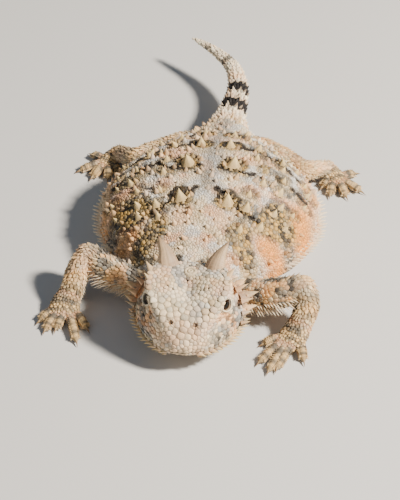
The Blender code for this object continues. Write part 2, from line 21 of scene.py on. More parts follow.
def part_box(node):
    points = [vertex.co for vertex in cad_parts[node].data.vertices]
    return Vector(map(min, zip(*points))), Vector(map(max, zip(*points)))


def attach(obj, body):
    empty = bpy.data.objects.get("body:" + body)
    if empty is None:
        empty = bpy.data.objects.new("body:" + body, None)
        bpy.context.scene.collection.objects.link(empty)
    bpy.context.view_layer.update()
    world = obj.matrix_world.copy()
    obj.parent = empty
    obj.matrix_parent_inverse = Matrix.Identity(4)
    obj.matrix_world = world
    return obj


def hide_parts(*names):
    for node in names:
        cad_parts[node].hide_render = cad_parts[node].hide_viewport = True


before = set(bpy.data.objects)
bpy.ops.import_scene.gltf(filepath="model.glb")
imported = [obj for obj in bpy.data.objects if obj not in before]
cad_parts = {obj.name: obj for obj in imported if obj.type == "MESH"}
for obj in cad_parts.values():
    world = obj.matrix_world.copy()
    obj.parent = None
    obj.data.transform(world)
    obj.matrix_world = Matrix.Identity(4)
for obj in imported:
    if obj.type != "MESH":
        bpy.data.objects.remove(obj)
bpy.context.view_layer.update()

Rows = np.ndarray
Piece = bpy.types.Object

MM = 0.001
ROOT = "root"
MARKINGS = "markings"
BAKE_MAP = "OFBake"
LOG = logging.getLogger("lizard")

EYE_CENTRE = np.array([6.7, -40.2, 12.1])
SIDES = (1, -1)
SIDE_WORDS = {1: "left", -1: "right"}
UP = np.array([0.0, 0.0, 1.0])
ABOVE = 30  # a height over all flesh, from which the skin below is looked up
MARKINGS_SEED = 11
LIPS_TO = -36.8  # y at which the line between the lips ends
SNOUT_FROM = 9  # heights over which a place is on top of the snout, and of the crown
CROWN_FROM = 12
SCUTES_FROM = 0.24  # share of a digit from which rings of pointed scales take over
UV_REACH = 0.0015  # how far one scale or thorn spreads on the bake map


class Zone(IntEnum):
    """Stretches of the body that differ in their scales."""

    HEAD = 0
    NECK = 1
    TRUNK = 2
    TAIL = 3
    ARM = 4
    LEG = 5
    HAND = 6


class Kind(IntEnum):
    """Forms that one scale can have."""

    PLATE = 0
    GRANULE = 1
    KEELED = 2
    CONE = 3
    BELLY = 4


def srgb(red: float, green: float, blue: float) -> Rows:
    """Turns a colour in 0 to 255 into linear light."""
    c = np.array([red, green, blue]) / 255
    return np.where(c <= 0.04045, c / 12.92, ((c + 0.055) / 1.055) ** 2.4)


def ramp(low: float, high: float, at: Rows) -> Rows:
    """Rises smoothly from 0 at low to 1 at high."""
    t = np.clip((at - low) / (high - low), 0, 1)
    return t * t * (3 - 2 * t)


def mix(a: Rows, b: Rows, share: Rows) -> Rows:
    """Blends rows of colours a towards b by a share for each row."""
    share = np.asarray(share)[..., None]
    return a * (1 - share) + b * share


def unit(rows: Rows) -> Rows:
    """Scales each row to length one."""
    return rows / np.maximum(np.linalg.norm(rows, axis=-1, keepdims=True), 1e-9)


def mound(x: Rows, wide: float, y: Rows = 0.0, long: float = 1.0) -> Rows:
    """A bell-shaped rise about 0, of the given half widths in x and y."""
    return np.exp(-((x / wide) ** 2) - (y / long) ** 2)


def circle(count: int) -> Rows:
    """Angles spread evenly round a circle."""
    return np.linspace(0, 2 * np.pi, count, endpoint=False)


def axes_of(along: Rows) -> tuple[Rows, Rows]:
    """The level direction and the upward one that stand square on each direction."""
    side = unit(np.cross(along, UP))
    return side, np.cross(side, along)


def ovals(side: Rows, up: Rows, wide: Rows, high: Rows, angle: Rows) -> Rows:
    """Points of an oval for each pair of directions, reaching wide and high along them."""
    return side[:, None] * (wide * np.cos(angle))[..., None] + up[:, None] * (high * np.sin(angle))[..., None]


def search_tree(points: Rows) -> KDTree:
    """A tree that finds the nearest of the points."""
    tree = KDTree(len(points))
    for i, p in enumerate(points):
        tree.insert(p, i)
    tree.balance()
    return tree


def link(name: str, data: bpy.types.ID) -> Piece:
    """Puts an object with the given data into the scene."""
    made = bpy.data.objects.new(name, data)
    bpy.context.scene.collection.objects.link(made)
    return made


def curve(keys: Rows, values: Rows, at: Rows) -> Rows:
    """Reads a smooth curve through rows of values.

    Args:
        keys: Places of the rows, rising.
        values: One row of numbers for each key.
        at: Places to read.

    Returns:
        One row for each place.
    """
    keys = np.asarray(keys, float)
    values = np.asarray(values, float)
    at = np.atleast_1d(np.asarray(at, float))
    slopes = np.gradient(values, keys, axis=0)
    i = np.clip(np.searchsorted(keys, at) - 1, 0, len(keys) - 2)
    span = (keys[i + 1] - keys[i])[:, None]
    t = np.clip((at - keys[i])[:, None] / span, 0, 1)
    first = (2 * t**3 - 3 * t**2 + 1) * values[i] + (t**3 - 2 * t**2 + t) * span * slopes[i]
    return first + (3 * t**2 - 2 * t**3) * values[i + 1] + (t**3 - t**2) * span * slopes[i + 1]


@lru_cache(maxsize=None)
def lattice(seed: int, size: int) -> Rows:
    """Random values on the corners of a repeating lattice."""
    return np.random.default_rng(seed).uniform(-1, 1, (size,) * 3)


@dataclass(frozen=True)
class Noise:
    """Smooth random values in space."""

    seed: int
    size: int = 32

    def __call__(self, places: Rows, wavelength: float) -> Rows:
        """Reads the noise.

        Args:
            places: Points in millimetres, one a row.
            wavelength: Distance between lattice points in millimetres.

        Returns:
            Values from -1 to 1.
        """
        table = lattice(self.seed, self.size)
        p = places / wavelength
        cell = np.floor(p).astype(int)
        f = p - cell
        f = f * f * (3 - 2 * f)
        total = np.zeros(len(p))
        for corner in range(8):
            step = np.array([corner & 1, corner >> 1 & 1, corner >> 2 & 1])
            weight = np.where(step, f, 1 - f).prod(1)
            a, b, c = ((cell + step) % self.size).T
            total += weight * table[a, b, c]
        return total

    def layered(self, places: Rows, wavelength: float, layers: int = 3) -> Rows:
        """Sums a few layers of the noise, each finer and weaker."""
        total = sum(self(places + 7.3 * i, wavelength / 2**i) / 2**i for i in range(layers))
        return total / sum(0.5**i for i in range(layers))


@dataclass(frozen=True)
class Band:
    """One dark crossband of the back, the same on both sides."""

    reach: tuple[float, ...]  # distances from the middle line
    rear: tuple[float, ...]  # y of its rear edge at each
    depth: tuple[float, ...]  # how far it runs forward at each

    def into(self, ax: Rows, y: Rows) -> tuple[Rows, Rows]:
        """How far each place lies in front of the rear edge, and how deep the band is there."""
        return np.interp(ax, self.reach, self.rear) - y, np.interp(ax, self.reach, self.depth)


BANDS = (
    Band((0.9, 2.6, 5.5, 8.5, 11.5, 13.5), (-8.2, -8.4, -11, -13.6, -15.6, -16), (0, 2.4, 3.9, 2.8, 1.8, 0)),
    Band(
        (0.8, 2.2, 8.0, 9.6, 12, 16, 20, 22), (-0.6, -0.6, -1.0, -0.6, 1.6, 0.6, -1.6, -2),
        (0, 3.2, 3.4, 1.4, 4.6, 5, 4, 0),
    ),
    Band(
        (0.8, 2.2, 6.5, 8.0, 10, 14, 17, 20), (9.2, 9.6, 10.2, 10.0, 10.4, 8.6, 6.6, 4),
        (0, 2.8, 3.2, 1.4, 4.2, 5, 4, 0),
    ),
    Band((0.8, 2.0, 6.0, 8.0, 12, 14), (18.0, 18.6, 19.0, 18.0, 16.2, 15), (0, 2.6, 3.2, 2.2, 3.4, 0)),
)


def wander(p: Rows) -> tuple[Rows, Rows]:
    """Distance from the middle line and y, both shifted a little at random, so that no band runs straight."""
    noise = Noise(MARKINGS_SEED)
    ax = np.abs(p[:, 0]) + 0.8 * noise.layered(p, 5.0)
    return ax, p[:, 1] + 0.5 * noise.layered(p + 40, 1.5) + 0.7 * noise.layered(p + 33, 3.2)


@dataclass(frozen=True)
class BodyForm:
    """The animal's rows of sizes, as the solids have them."""

    trunk: tuple = (
        (-27, 11, 14.6, 8.2, 4.8), (-23.5, 15.4, 15.6, 7.2, 3.4), (-18, 19.4, 16.8, 6, 1.8),
        (-12, 22.4, 17.8, 5, 0.6), (-5, 24.2, 18.3, 4.5, -0.1), (1.5, 24.3, 18.1, 4.3, -0.3),
        (8, 22.4, 16.8, 4.3, -0.3), (14, 18.8, 14.8, 4.4, -0.3), (19, 14.6, 12.5, 4.6, -0.2),
        (24, 10.6, 10.5, 4.7, 0.2), (28, 7.6, 9.3, 4.8, 0.8), (31, 5.2, 8.4, 4.9, 1.4),
    )
    neck: tuple = (
        (-34, 8.6, 13.4, 9, 5.2), (-30.5, 9.2, 13.9, 8.7, 5), (-26, 11.6, 14.8, 8, 4.5),
    )
    head: tuple = (
        (-30.6, 14.9, 5, 14.6, 6.8, 12, 8.6, 8.8, 7.2, 6.6, 5),
        (-32.4, 15.6, 6.4, 15.6, 8.4, 12.4, 10.6, 8.8, 9.8, 5.9, 4.2),
        (-34.6, 15.7, 7.4, 16.1, 9, 12.5, 11.4, 8.5, 10.9, 5.4, 3.8),
        (-37.6, 15.2, 8.2, 16.2, 8.7, 12.2, 11, 8.1, 10.8, 5.1, 3.6),
        (-40.6, 14.5, 8.2, 15.3, 8, 11.7, 10.1, 7.7, 10, 4.9, 3.6),
        (-43.2, 13.6, 6.9, 13.9, 7.1, 11, 8.9, 7.4, 8.6, 4.8, 3.7),
        (-45.4, 12.6, 5.4, 12.5, 6, 10.2, 7.4, 7.1, 7, 4.8, 3.9),
        (-47.2, 11.1, 4, 10.8, 4.7, 9.2, 5.7, 6.8, 5.2, 4.9, 4.3),
        (-48.6, 9.3, 2.6, 9, 3.2, 8, 3.8, 6.6, 3.3, 5.2, 4.9),
        (-49.5, 7.6, 1.2, 7.4, 1.4, 6.9, 1.6, 6.3, 1.3, 5.7, 5.6),
    )
    tail: tuple = (
        (0, 27, 5.2, 5.4, 3.4), (0, 31, 4.9, 5, 3.4), (0.2, 35.5, 5.3, 3.7, 2.8),
        (0.9, 41, 6.2, 2.8, 2.2), (0.9, 46.3, 7.4, 2.25, 1.8), (-0.8, 51.6, 8.5, 1.8, 1.45),
        (-4.5, 56.2, 9.1, 1.35, 1.1), (-8.5, 59.8, 9.3, 0.9, 0.8), (-11.8, 62.4, 9.1, 0.4, 0.35),
    )
    arm_right: tuple = (
        (-9, -26, 5.2, 3, 3), (-13.8, -26.4, 5.6, 3.2, 3.2), (-18.8, -25.6, 7.2, 3, 3.1),
        (-23.2, -23.6, 8.9, 2.5, 2.5), (-25, -26.2, 6.9, 2.5, 2.3), (-26.2, -30, 3.6, 2.5, 2),
        (-26.9, -32.6, 2.2, 3.3, 1.6), (-26.9, -34.4, 1.4, 3.3, 1.2),
    )
    arm_left: tuple = (
        (9, -27, 5.4, 3, 3), (13.2, -28.6, 6, 3.3, 3.2), (18.2, -29.4, 7.4, 3.2, 3.2),
        (22.8, -28.6, 8.7, 2.6, 2.6), (24, -31, 6.5, 2.6, 2.3), (23.2, -34, 4, 2.6, 2),
        (22, -36.4, 2.4, 3.2, 1.6), (21, -38, 1.5, 3.2, 1.2),
    )
    leg_left: tuple = (
        (5, 24.6, 5, 3.4, 3), (9.6, 22.8, 5.3, 3.6, 3.2), (14.6, 19.6, 5.4, 3.2, 2.9),
        (18.9, 17.4, 5.2, 2.3, 2.4), (21.8, 19.8, 3.9, 2, 2), (24.2, 22.6, 2.5, 1.7, 1.7),
        (25.6, 21.4, 1.8, 2, 1.5), (26.8, 19.6, 1.3, 2.2, 1.1),
    )
    hand_right: tuple = (
        ((-29.2, -33.2), (-32.6, -38)), ((-28.4, -34.2), (-30.5, -41)),
        ((-27, -34.8), (-28.2, -40.4)), ((-25.6, -34.8), (-22.5, -43.7)),
        ((-24.6, -33.8), (-20.6, -39.2)),
    )
    hand_left: tuple = (
        ((18.8, -36.6), (14.4, -39.2)), ((19.4, -38.2), (14.6, -45.4)), ((20.4, -38.8), (17.1, -48.1)),
        ((21.6, -38.6), (18.8, -47.2)), ((23.2, -37.4), (24.8, -44)),
    )
    foot_left: tuple = (
        ((25.2, 20.4), (22.6, 16.4)), ((25.8, 19.4), (25.2, 13.4)), ((27, 19), (29.6, 13.6)),
        ((27.8, 19.8), (33.4, 16.4)), ((27.4, 21.4), (31.6, 24.6)),
    )
    elbow: int = 3
    wrist: int = 5
    top_fullness: float = 1.9
    belly_fullness: float = 3.2
    digit_radius: float = 0.95
    digit_heights: tuple[float, float] = (1.35, 0.35)
    claw_length: float = 1.9
    claw_height: float = 0.85
    inset: float = 0.14

    def limbs(self) -> dict[str, tuple[tuple, tuple]]:
        """Rows and digits of each limb by name."""
        mirror_rows = tuple((-r[0], *r[1:]) for r in self.leg_left)
        mirror_digits = tuple(tuple((-p[0], p[1]) for p in pair) for pair in self.foot_left)
        return {
            "arm_right": (self.arm_right, self.hand_right),
            "arm_left": (self.arm_left, self.hand_left),
            "leg_left": (self.leg_left, self.foot_left),
            "leg_right": (mirror_rows, mirror_digits),
        }

    def trunk_at(self, y: Rows) -> Rows:
        """Half width, top, side edge height and belly of the trunk at each y."""
        rows = np.asarray(self.trunk)
        return curve(rows[:, 0], rows[:, 1:], y)

    def head_at(self, y: Rows) -> Rows:
        """The ten head sizes at each y."""
        rows = np.asarray(sorted(self.head))
        return curve(rows[:, 0], rows[:, 1:], y)

    def lips_at(self, y: Rows) -> Rows:
        """Height of the line between the lips at each y."""
        sizes = self.head_at(y)
        return 0.5 * (sizes[:, 6] + sizes[:, 8])

    def digit_ends(self, root: tuple, tip: tuple) -> tuple[Rows, Rows, float]:
        """Both ends of a finger or toe, and its claw's share of the length."""
        a, b = (np.array([*place, z]) for place, z in zip((root, tip), self.digit_heights))
        return a, b, self.claw_length / np.linalg.norm(b - a)

    def claws(self) -> list[tuple[Rows, Rows]]:
        """Root and tip of every claw."""
        found = []
        for _, digits in self.limbs().values():
            for root, tip in digits:
                a, b, share = self.digit_ends(root, tip)
                base = a + (b - a) * (1 - 1.35 * share)
                base[2] = self.claw_height
                found.append((base, b))
        return found


FORM = BodyForm()


@dataclass
class Length:
    """One closed length of flesh: rings of points along a middle line."""

    name: str
    zone: Zone
    rings: Rows

    def middles(self) -> Rows:
        """The middle of each ring."""
        return self.rings.mean(1)


@dataclass
class FleshBuilder:
    """Makes the closed lengths that the one skin is drawn over."""

    sides: int = 40

    def dome_rings(self, rows: tuple, count: int) -> Rows:
        """Sections of the trunk or neck.

        Args:
            rows: y, half width, top, side edge height and belly.
            count: How many sections.

        Returns:
            Points by section.
        """
        rows = np.asarray(rows)
        y = np.linspace(rows[0, 0], rows[-1, 0], count)
        half, top, edge, belly = curve(rows[:, 0], rows[:, 1:], y).T[:, :, None]
        inset = FORM.inset
        angle = circle(2 * self.sides)[None, :]
        c, s = np.cos(angle), np.sin(angle)
        power = np.where(s >= 0, 2 / FORM.top_fullness, 2 / FORM.belly_fullness)
        rise = np.where(s >= 0, top - inset - edge, edge - belly - inset)
        x = (half - inset) * np.sign(c) * np.abs(c) ** power
        z = edge + rise * np.sign(s) * np.abs(s) ** power
        return np.stack([x, np.broadcast_to(y[:, None], x.shape), z], axis=2)

    def head_rings(self, count: int = 60, steps: int = 5) -> Rows:
        """Sections of the head, through crown, brow, cheek, jaw and chin."""
        rings = []
        for y in np.linspace(FORM.head[0][0], FORM.head[-1][0], count):
            top, brow, brow_z, wall, wall_z, cheek, cheek_z, jaw, jaw_z, chin = FORM.head_at(y)[0]
            half = (
                (0.5 * brow, 0.5 * (top + brow_z)),
                (brow, brow_z),
                (wall, wall_z),
                (cheek, cheek_z),
                (jaw, jaw_z),
                (0.55 * jaw, chin + 0.15 * (jaw_z - chin)),
            )
            loop = np.array([(0, top), *half, (0, chin), *[(-x, z) for x, z in reversed(half)]])
            middle = np.array([0, 0.5 * (top + chin)])
            t = np.arange(steps)[:, None] / steps
            points = []
            for i in range(len(loop)):
                before, here, after, later = (loop[(i + k) % len(loop)] for k in (-1, 0, 1, 2))
                bow = (2 * before - 5 * here + 4 * after - later) * t**2
                turn = (3 * here - before - 3 * after + later) * t**3
                points.append(0.5 * (2 * here + (after - before) * t + bow + turn))
            ring = np.concatenate(points)
            ring -= FORM.inset * unit(ring - middle)
            rings.append(np.column_stack([ring[:, 0], np.full(len(ring), y), ring[:, 1]]))
        return np.array(rings)

    def tube_rings(self, rows: Rows, count: int, rounded: bool = True) -> Rows:
        """Elliptical sections along the smooth line through the rows, rounded past both ends."""
        rows = np.asarray(rows, float)
        keys = np.arange(len(rows))
        at = np.linspace(0, len(rows) - 1, count)
        place = curve(keys, rows, at)
        ahead = curve(keys, rows, np.minimum(at + 0.02, len(rows) - 1))[:, :3]
        behind = curve(keys, rows, np.maximum(at - 0.02, 0))[:, :3]
        along = unit(ahead - behind)
        side, up = axes_of(along)
        size = np.maximum(place[:, 3:5] - FORM.inset, 0.15)
        angle = circle(self.sides)
        rings = (
            place[:, None, :3]
            + side[:, None] * (size[:, :1] * np.cos(angle))[..., None]
            + up[:, None] * (size[:, 1:] * np.sin(angle))[..., None]
        )
        if not rounded:
            return rings
        caps = []
        for ring, out, reach in (
            (rings[0], -along[0], size[0].mean()),
            (rings[-1], along[-1], size[-1].mean()),
        ):
            middle = ring.mean(0)
            turns = np.radians((30, 55, 75, 86))
            caps.append([middle + out * reach * math.sin(a) + (ring - middle) * math.cos(a) for a in turns])
        return np.concatenate([caps[0][::-1], rings, caps[1]])

    def digit_rows(self, root: tuple, tip: tuple) -> list[tuple]:
        """Rows of one finger or toe, as far as its claw."""
        a, b, claw = FORM.digit_ends(root, tip)
        radius = FORM.digit_radius
        rows = [(*a, radius, 0.9 * radius)]
        for share, z, wide, high in (
            (0.35, 1.2, 1.0, 1.0),
            (0.75 - claw / 2, 0.85, 0.95, 0.92),
            (1 - claw, 0.75, 0.8, 0.78),
        ):
            p = a + (b - a) * share
            rows.append((p[0], p[1], z, wide * radius, high * radius))
        return rows

    def lengths(self) -> list[Length]:
        """All the closed lengths of the animal."""
        made = [
            Length("trunk", Zone.TRUNK, self.dome_rings(FORM.trunk, 110)),
            Length("neck", Zone.NECK, self.dome_rings(FORM.neck, 24)),
            Length("head", Zone.HEAD, self.head_rings()),
            Length("tail", Zone.TAIL, self.tube_rings(FORM.tail, 90)),
        ]
        for name, (rows, digits) in FORM.limbs().items():
            zone = Zone.ARM if name.startswith("arm") else Zone.LEG
            parts = [
                (f"upper_{name}", zone, rows[: FORM.elbow + 1], 30),
                (f"lower_{name}", zone, rows[FORM.elbow : FORM.wrist + 1], 30),
                (f"palm_{name}", Zone.HAND, rows[FORM.wrist :], 16),
            ]
            for i, ends in enumerate(digits):
                parts.append((f"digit_{name}_{i}", Zone.HAND, self.digit_rows(*ends), 22))
            for part, place, stretch, count in parts:
                made.append(Length(part, place, self.tube_rings(stretch, count)))
        return made


def ring_faces(count: int, sides: int) -> Rows:
    """Triangles between neighbouring rings of points.

    Args:
        count: How many rings.
        sides: Points a ring.

    Returns:
        Three point numbers for each triangle.
    """
    i = np.arange(sides)
    j = (i + 1) % sides
    low = sides * np.arange(count - 1)[:, None]
    a, b, c, d = low + i, low + j, low + sides + j, low + sides + i
    return np.stack([np.stack([a, b, c], 2), np.stack([a, c, d], 2)], 2).reshape(-1, 3)


def fan(first: int, sides: int, tip: int, inward: bool = False) -> Rows:
    """Triangles from a ring of points to a tip, turned over if they face the other way."""
    i = np.arange(sides)
    made = np.column_stack([first + i, first + (i + 1) % sides, np.full(sides, tip)])
    return made[:, [1, 0, 2]] if inward else made


def closed_rings(rings: Rows) -> tuple[Rows, Rows]:
    """Points and triangles of a closed skin over rings, with a fan at each end."""
    count, sides, _ = rings.shape
    points = np.concatenate([rings.reshape(-1, 3), rings[0].mean(0)[None], rings[-1].mean(0)[None]])
    end = count * sides
    start_fan, end_fan = fan(0, sides, end, True), fan(end - sides, sides, end + 1)
    return points, np.concatenate([ring_faces(count, sides), start_fan, end_fan])


def repeated(faces: Rows, each: int, count: int) -> Rows:
    """The same faces over again for each of a count of forms with so many points each."""
    return (faces[None] + each * np.arange(count)[:, None, None]).reshape(-1, 3)


def add_faces(bm: bmesh.types.BMesh, points: Rows, faces: Rows) -> None:
    """Adds points and the faces between them to a mesh under work."""
    verts = [bm.verts.new(p) for p in points]
    for face in faces:
        bm.faces.new([verts[i] for i in face])


def frame_shift() -> Rows:
    """How far the row's frame lies from the animal's own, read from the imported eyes."""
    boxes = [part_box(f"eye_{word}") for word in SIDE_WORDS.values()]
    centre = sum((np.array(low) + np.array(high)) / 2 for low, high in boxes) / 2
    return centre / MM - EYE_CENTRE * [0, 1, 1]


SHIFT = frame_shift()


def make_piece(
    name: str, points: Rows, faces: Rows, colours: Rows, uv: Rows | None = None, crease: float = 80.0
) -> Piece:
    """Makes a smooth-shaded piece.

    Args:
        name: The piece's name.
        points: Places in millimetres in the animal's frame.
        faces: Point numbers, three or four a face.
        colours: A linear colour for each point.
        uv: A place on the bake map for each point, or for each face corner.
        crease: Degrees between faces from which an edge is sharp.

    Returns:
        The linked object, riding the root body.
    """
    mesh = bpy.data.meshes.new(name)
    count, corners = faces.shape
    mesh.vertices.add(len(points))
    mesh.vertices.foreach_set("co", ((points + SHIFT) * MM).astype(np.float32).ravel())
    mesh.loops.add(count * corners)
    mesh.loops.foreach_set("vertex_index", faces.astype(np.int32).ravel())
    mesh.polygons.add(count)
    mesh.polygons.foreach_set("loop_start", np.arange(0, count * corners, corners, dtype=np.int32))
    mesh.update(calc_edges=True)
    mesh.validate()
    layer = mesh.color_attributes.new(name=MARKINGS, type="FLOAT_COLOR", domain="POINT")
    rgba = np.column_stack([np.clip(colours, 0, 1), np.ones(len(colours))])
    layer.data.foreach_set("color", rgba.astype(np.float32).ravel())
    if uv is not None:
        corner_uv = uv if len(uv) == count * corners and len(uv) != len(points) else uv[faces.ravel()]
        mesh.uv_layers.new(name=BAKE_MAP).data.foreach_set("uv", corner_uv.astype(np.float32).ravel())
    mesh.shade_smooth()
    mesh.set_sharp_from_angle(angle=math.radians(crease))
    piece = link(name, mesh)
    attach(piece, ROOT)
    return piece


@dataclass
class Charts:
    """An unwrap of the skin: each length is rolled out along its middle line into its own rectangle."""

    lengths: list[Length]
    large: tuple = (
        # corners of the rectangles of trunk, neck, head and tail
        (0, 0, 0.62, 0.5), (0.64, 0, 0.96, 0.12), (0.64, 0.14, 0.98, 0.5), (0, 0.52, 0.5, 0.66),
    )
    columns: int = 7
    margin: float = 0.006

    def __post_init__(self) -> None:
        """Collects the middle lines and packs the rectangles."""
        self.lines = [length.middles() for length in self.lengths]
        self.boxes = list(self.large)
        rest = len(self.lengths) - len(self.large)
        rows = math.ceil(rest / self.columns)
        for i in range(rest):
            row, column = divmod(i, self.columns)
            x, y = column / self.columns, 0.68 + 0.32 * row / rows
            self.boxes.append((x, y, x + 1 / self.columns, y + 0.32 / rows))

    def along(self, chart: int, points: Rows) -> tuple[Rows, Rows, Rows]:
        """Follows the middle line of one length.

        Args:
            chart: Number of the length.
            points: Places in millimetres.

        Returns:
            Share of the way along, turn round the line from 0 to 1, and the line's direction there.
        """
        line = self.lines[chart]
        a, b = line[:-1], line[1:]
        step = b - a
        size = np.maximum((step**2).sum(1), 1e-9)
        best = np.full(len(points), np.inf)
        share = np.zeros(len(points))
        where = np.zeros((len(points), 3))
        way = np.zeros((len(points), 3))
        for i in range(len(a)):
            t = np.clip(((points - a[i]) @ step[i]) / size[i], 0, 1)
            foot = a[i] + t[:, None] * step[i]
            far = ((points - foot) ** 2).sum(1)
            near = far < best
            best[near] = far[near]
            share[near] = (i + t[near]) / len(a)
            where[near] = foot[near]
            way[near] = step[i]
        way = unit(way)
        side, up = axes_of(way)
        out = points - where
        turn = np.arctan2((out * side).sum(1), -(out * up).sum(1)) / (2 * np.pi) + 0.5
        return share, turn, way

    def place(self, chart: Rows, share: Rows, turn: Rows) -> Rows:
        """Turns chart, share and turn into places on the bake map."""
        x0, y0, x1, y1 = np.array(self.boxes)[chart].T
        m = self.margin
        u = x0 + m + (x1 - x0 - 2 * m) * share
        v = y0 + m + (y1 - y0 - 2 * m) * turn
        return np.clip(np.column_stack([u, v]), 0, 1)


@dataclass
class Skin:
    """The one skin over all the flesh, with its relief."""

    voxel: float = 0.40
    smoothing: int = 9
    eye_radius: float = 2.0
    lid_shell: float = 2.5
    gaze: tuple[float, float, float] = (0.80, -0.50, 0.33)
    slit: tuple[float, float] = (0.78, 0.66)
    slit_tilt: float = 6.0
    nostril: tuple[float, float] = (2.5, -46.7)
    nostril_radius: float = 0.40
    pit_radius: float = 0.27
    hole_depth: float = 0.42
    crown_ring: tuple[float, float] = (0.0, -34.9)
    pits: tuple = (
        (-4.1, -39.9), (-3.0, -40.2), (2.7, -40.2), (3.4, -40.0), (4.4, -39.7), (0.5, -37.0), (-0.45, -36.9)
    )

    def __post_init__(self) -> None:
        """Draws the skin over the lengths."""
        self.lengths = FleshBuilder().lengths()
        self.charts = Charts(self.lengths)
        self.noise = Noise(3)
        self.points, self.faces = self.remeshed()
        self.relax()
        self.points[:, 2] = np.maximum(self.points[:, 2], 0.02)
        self.refine()
        self.assign()
        # hollow: how deep each point lies in a lid opening or pit, later used to darken the skin as painted
        # shade
        self.hollow = np.zeros(len(self.points))
        self.relief()
        self.settle()

    def lid_axes(self, side: int) -> tuple[Rows, Rows, Rows, Rows]:
        """Centre, line of sight, long way and short way of the opening between the lids."""
        centre = EYE_CENTRE * [side, 1, 1]
        out = unit(np.array(self.gaze) * [side, 1, 1])
        back = unit(np.array([0, 1, 0]) - out * out[1])
        up = np.cross(out, back) * side
        tilt = math.radians(self.slit_tilt)
        long_way = back * math.cos(tilt) + up * math.sin(tilt)
        return centre, out, long_way, up * math.cos(tilt) - back * math.sin(tilt)

    def remeshed(self) -> tuple[Rows, Rows]:
        """Joins all lengths and the lid shells into one closed mesh of even quads."""
        bm = bmesh.new()
        for side in SIDES:
            place = Matrix.Translation(Vector(EYE_CENTRE * [side, 1, 1]))
            bmesh.ops.create_uvsphere(bm, u_segments=32, v_segments=20, radius=self.lid_shell, matrix=place)
        for length in self.lengths:
            add_faces(bm, *closed_rings(length.rings))
        bmesh.ops.scale(bm, vec=(MM, MM, MM), verts=bm.verts)
        flesh = bpy.data.meshes.new("flesh")
        bm.to_mesh(flesh)
        bm.free()
        source = link("flesh", flesh)
        remesh = source.modifiers.new("even", "REMESH")
        remesh.mode = "VOXEL"
        remesh.voxel_size = self.voxel * MM
        graph = bpy.context.evaluated_depsgraph_get()
        result = bpy.data.meshes.new_from_object(source.evaluated_get(graph))
        bpy.data.objects.remove(source)
        co = np.zeros(3 * len(result.vertices), np.float32)
        result.vertices.foreach_get("co", co)
        quads = np.zeros(4 * len(result.polygons), np.int32)
        result.loops.foreach_get("vertex_index", quads)
        return co.reshape(-1, 3).astype(float) / MM, quads.reshape(-1, 4)

    def relax(self) -> None:
        """Softens the joins between lengths and keeps the volume."""
        start, end = self.faces.ravel(), np.roll(self.faces, -1, axis=1).ravel()
        count = np.bincount(start, minlength=len(self.points))[:, None]
        for i in range(2 * self.smoothing):
            near = [np.bincount(start, self.points[end, k], minlength=len(self.points)) for k in range(3)]
            step = 0.5 if i % 2 == 0 else -0.52
            self.points += step * (np.stack(near, 1) / count - self.points)

    def refine(self) -> None:
        """Divides the faces twice round the eyes, nostrils, pits and crown ring, where small forms lie."""
        spots = [(EYE_CENTRE * [s, 1, 1], 3.3) for s in SIDES]
        spots += [(np.array([s * self.nostril[0], self.nostril[1], 11.4]), 1.4) for s in SIDES]
        spots += [(np.array([*self.crown_ring, 15.1]), 1.8)]
        spots += [(np.array([x, y, 14.6]), 0.8) for x, y in self.pits]
        bm = bmesh.new()
        add_faces(bm, self.points, self.faces)
        for _ in range(2):
            faces = list(bm.faces)
            middles = np.array([f.calc_center_median() for f in faces])
            near = np.zeros(len(faces), bool)
            for place, reach in spots:
                near |= ((middles - place) ** 2).sum(1) < reach**2
            edges = {edge for i in np.flatnonzero(near) for edge in faces[i].edges}
            bmesh.ops.subdivide_edges(bm, edges=list(edges), cuts=1, use_grid_fill=True)
            bmesh.ops.triangulate(bm, faces=[f for f in bm.faces if len(f.verts) > 4])
        bmesh.ops.triangulate(bm, faces=bm.faces)
        bm.verts.index_update()
        self.points = np.array([v.co for v in bm.verts])
        self.faces = np.array([[v.index for v in f.verts] for f in bm.faces])
        bm.free()

    def assign(self) -> None:
        """Finds the length that each point belongs to, and its place along it."""
        rings = [length.rings.reshape(-1, 3) for length in self.lengths]
        tree = search_tree(np.concatenate(rings))
        owner = np.repeat(np.arange(len(rings)), [len(points) for points in rings])
        self.owner = owner[[tree.find(p)[1] for p in self.points]]
        self.share = np.zeros(len(self.points))
        self.turn = np.zeros(len(self.points))
        self.lie = np.zeros((len(self.points), 3))
        for number, length in enumerate(self.lengths):
            mine = self.owner == number
            if mine.any():
                share, turn, way = self.charts.along(number, self.points[mine])
                self.share[mine], self.turn[mine] = share, turn
                self.lie[mine] = -way if length.zone is Zone.HEAD else way
        self.zone = np.array([length.zone for length in self.lengths])[self.owner]

    def normals(self) -> Rows:
        """Outward direction at each point."""
        a, b, c = (self.points[self.faces[:, i]] for i in range(3))
        face = np.cross(b - a, c - a)
        total = np.zeros_like(self.points)
        for i in range(3):
            for axis in range(3):
                total[:, axis] += np.bincount(self.faces[:, i], face[:, axis], minlength=len(total))
        return unit(total)

    def relief(self) -> None:
        """Raises and lowers the skin: folds, bands, crown, lips."""
        p = self.points
        trunk, limb = np.isin(self.zone, (Zone.TRUNK, Zone.NECK)), np.isin(self.zone, (Zone.ARM, Zone.LEG))
        clear = ramp(1.2, 4.0, p[:, 2])
        push = np.where(trunk, clear * self.trunk_relief(p), 0)
        push += np.where(limb, clear * 0.22 * self.noise.layered(p, 2.4), 0)
        push += np.where(self.zone == Zone.HEAD, self.head_relief(p), 0)
        self.points = p + self.normals() * push[:, None]

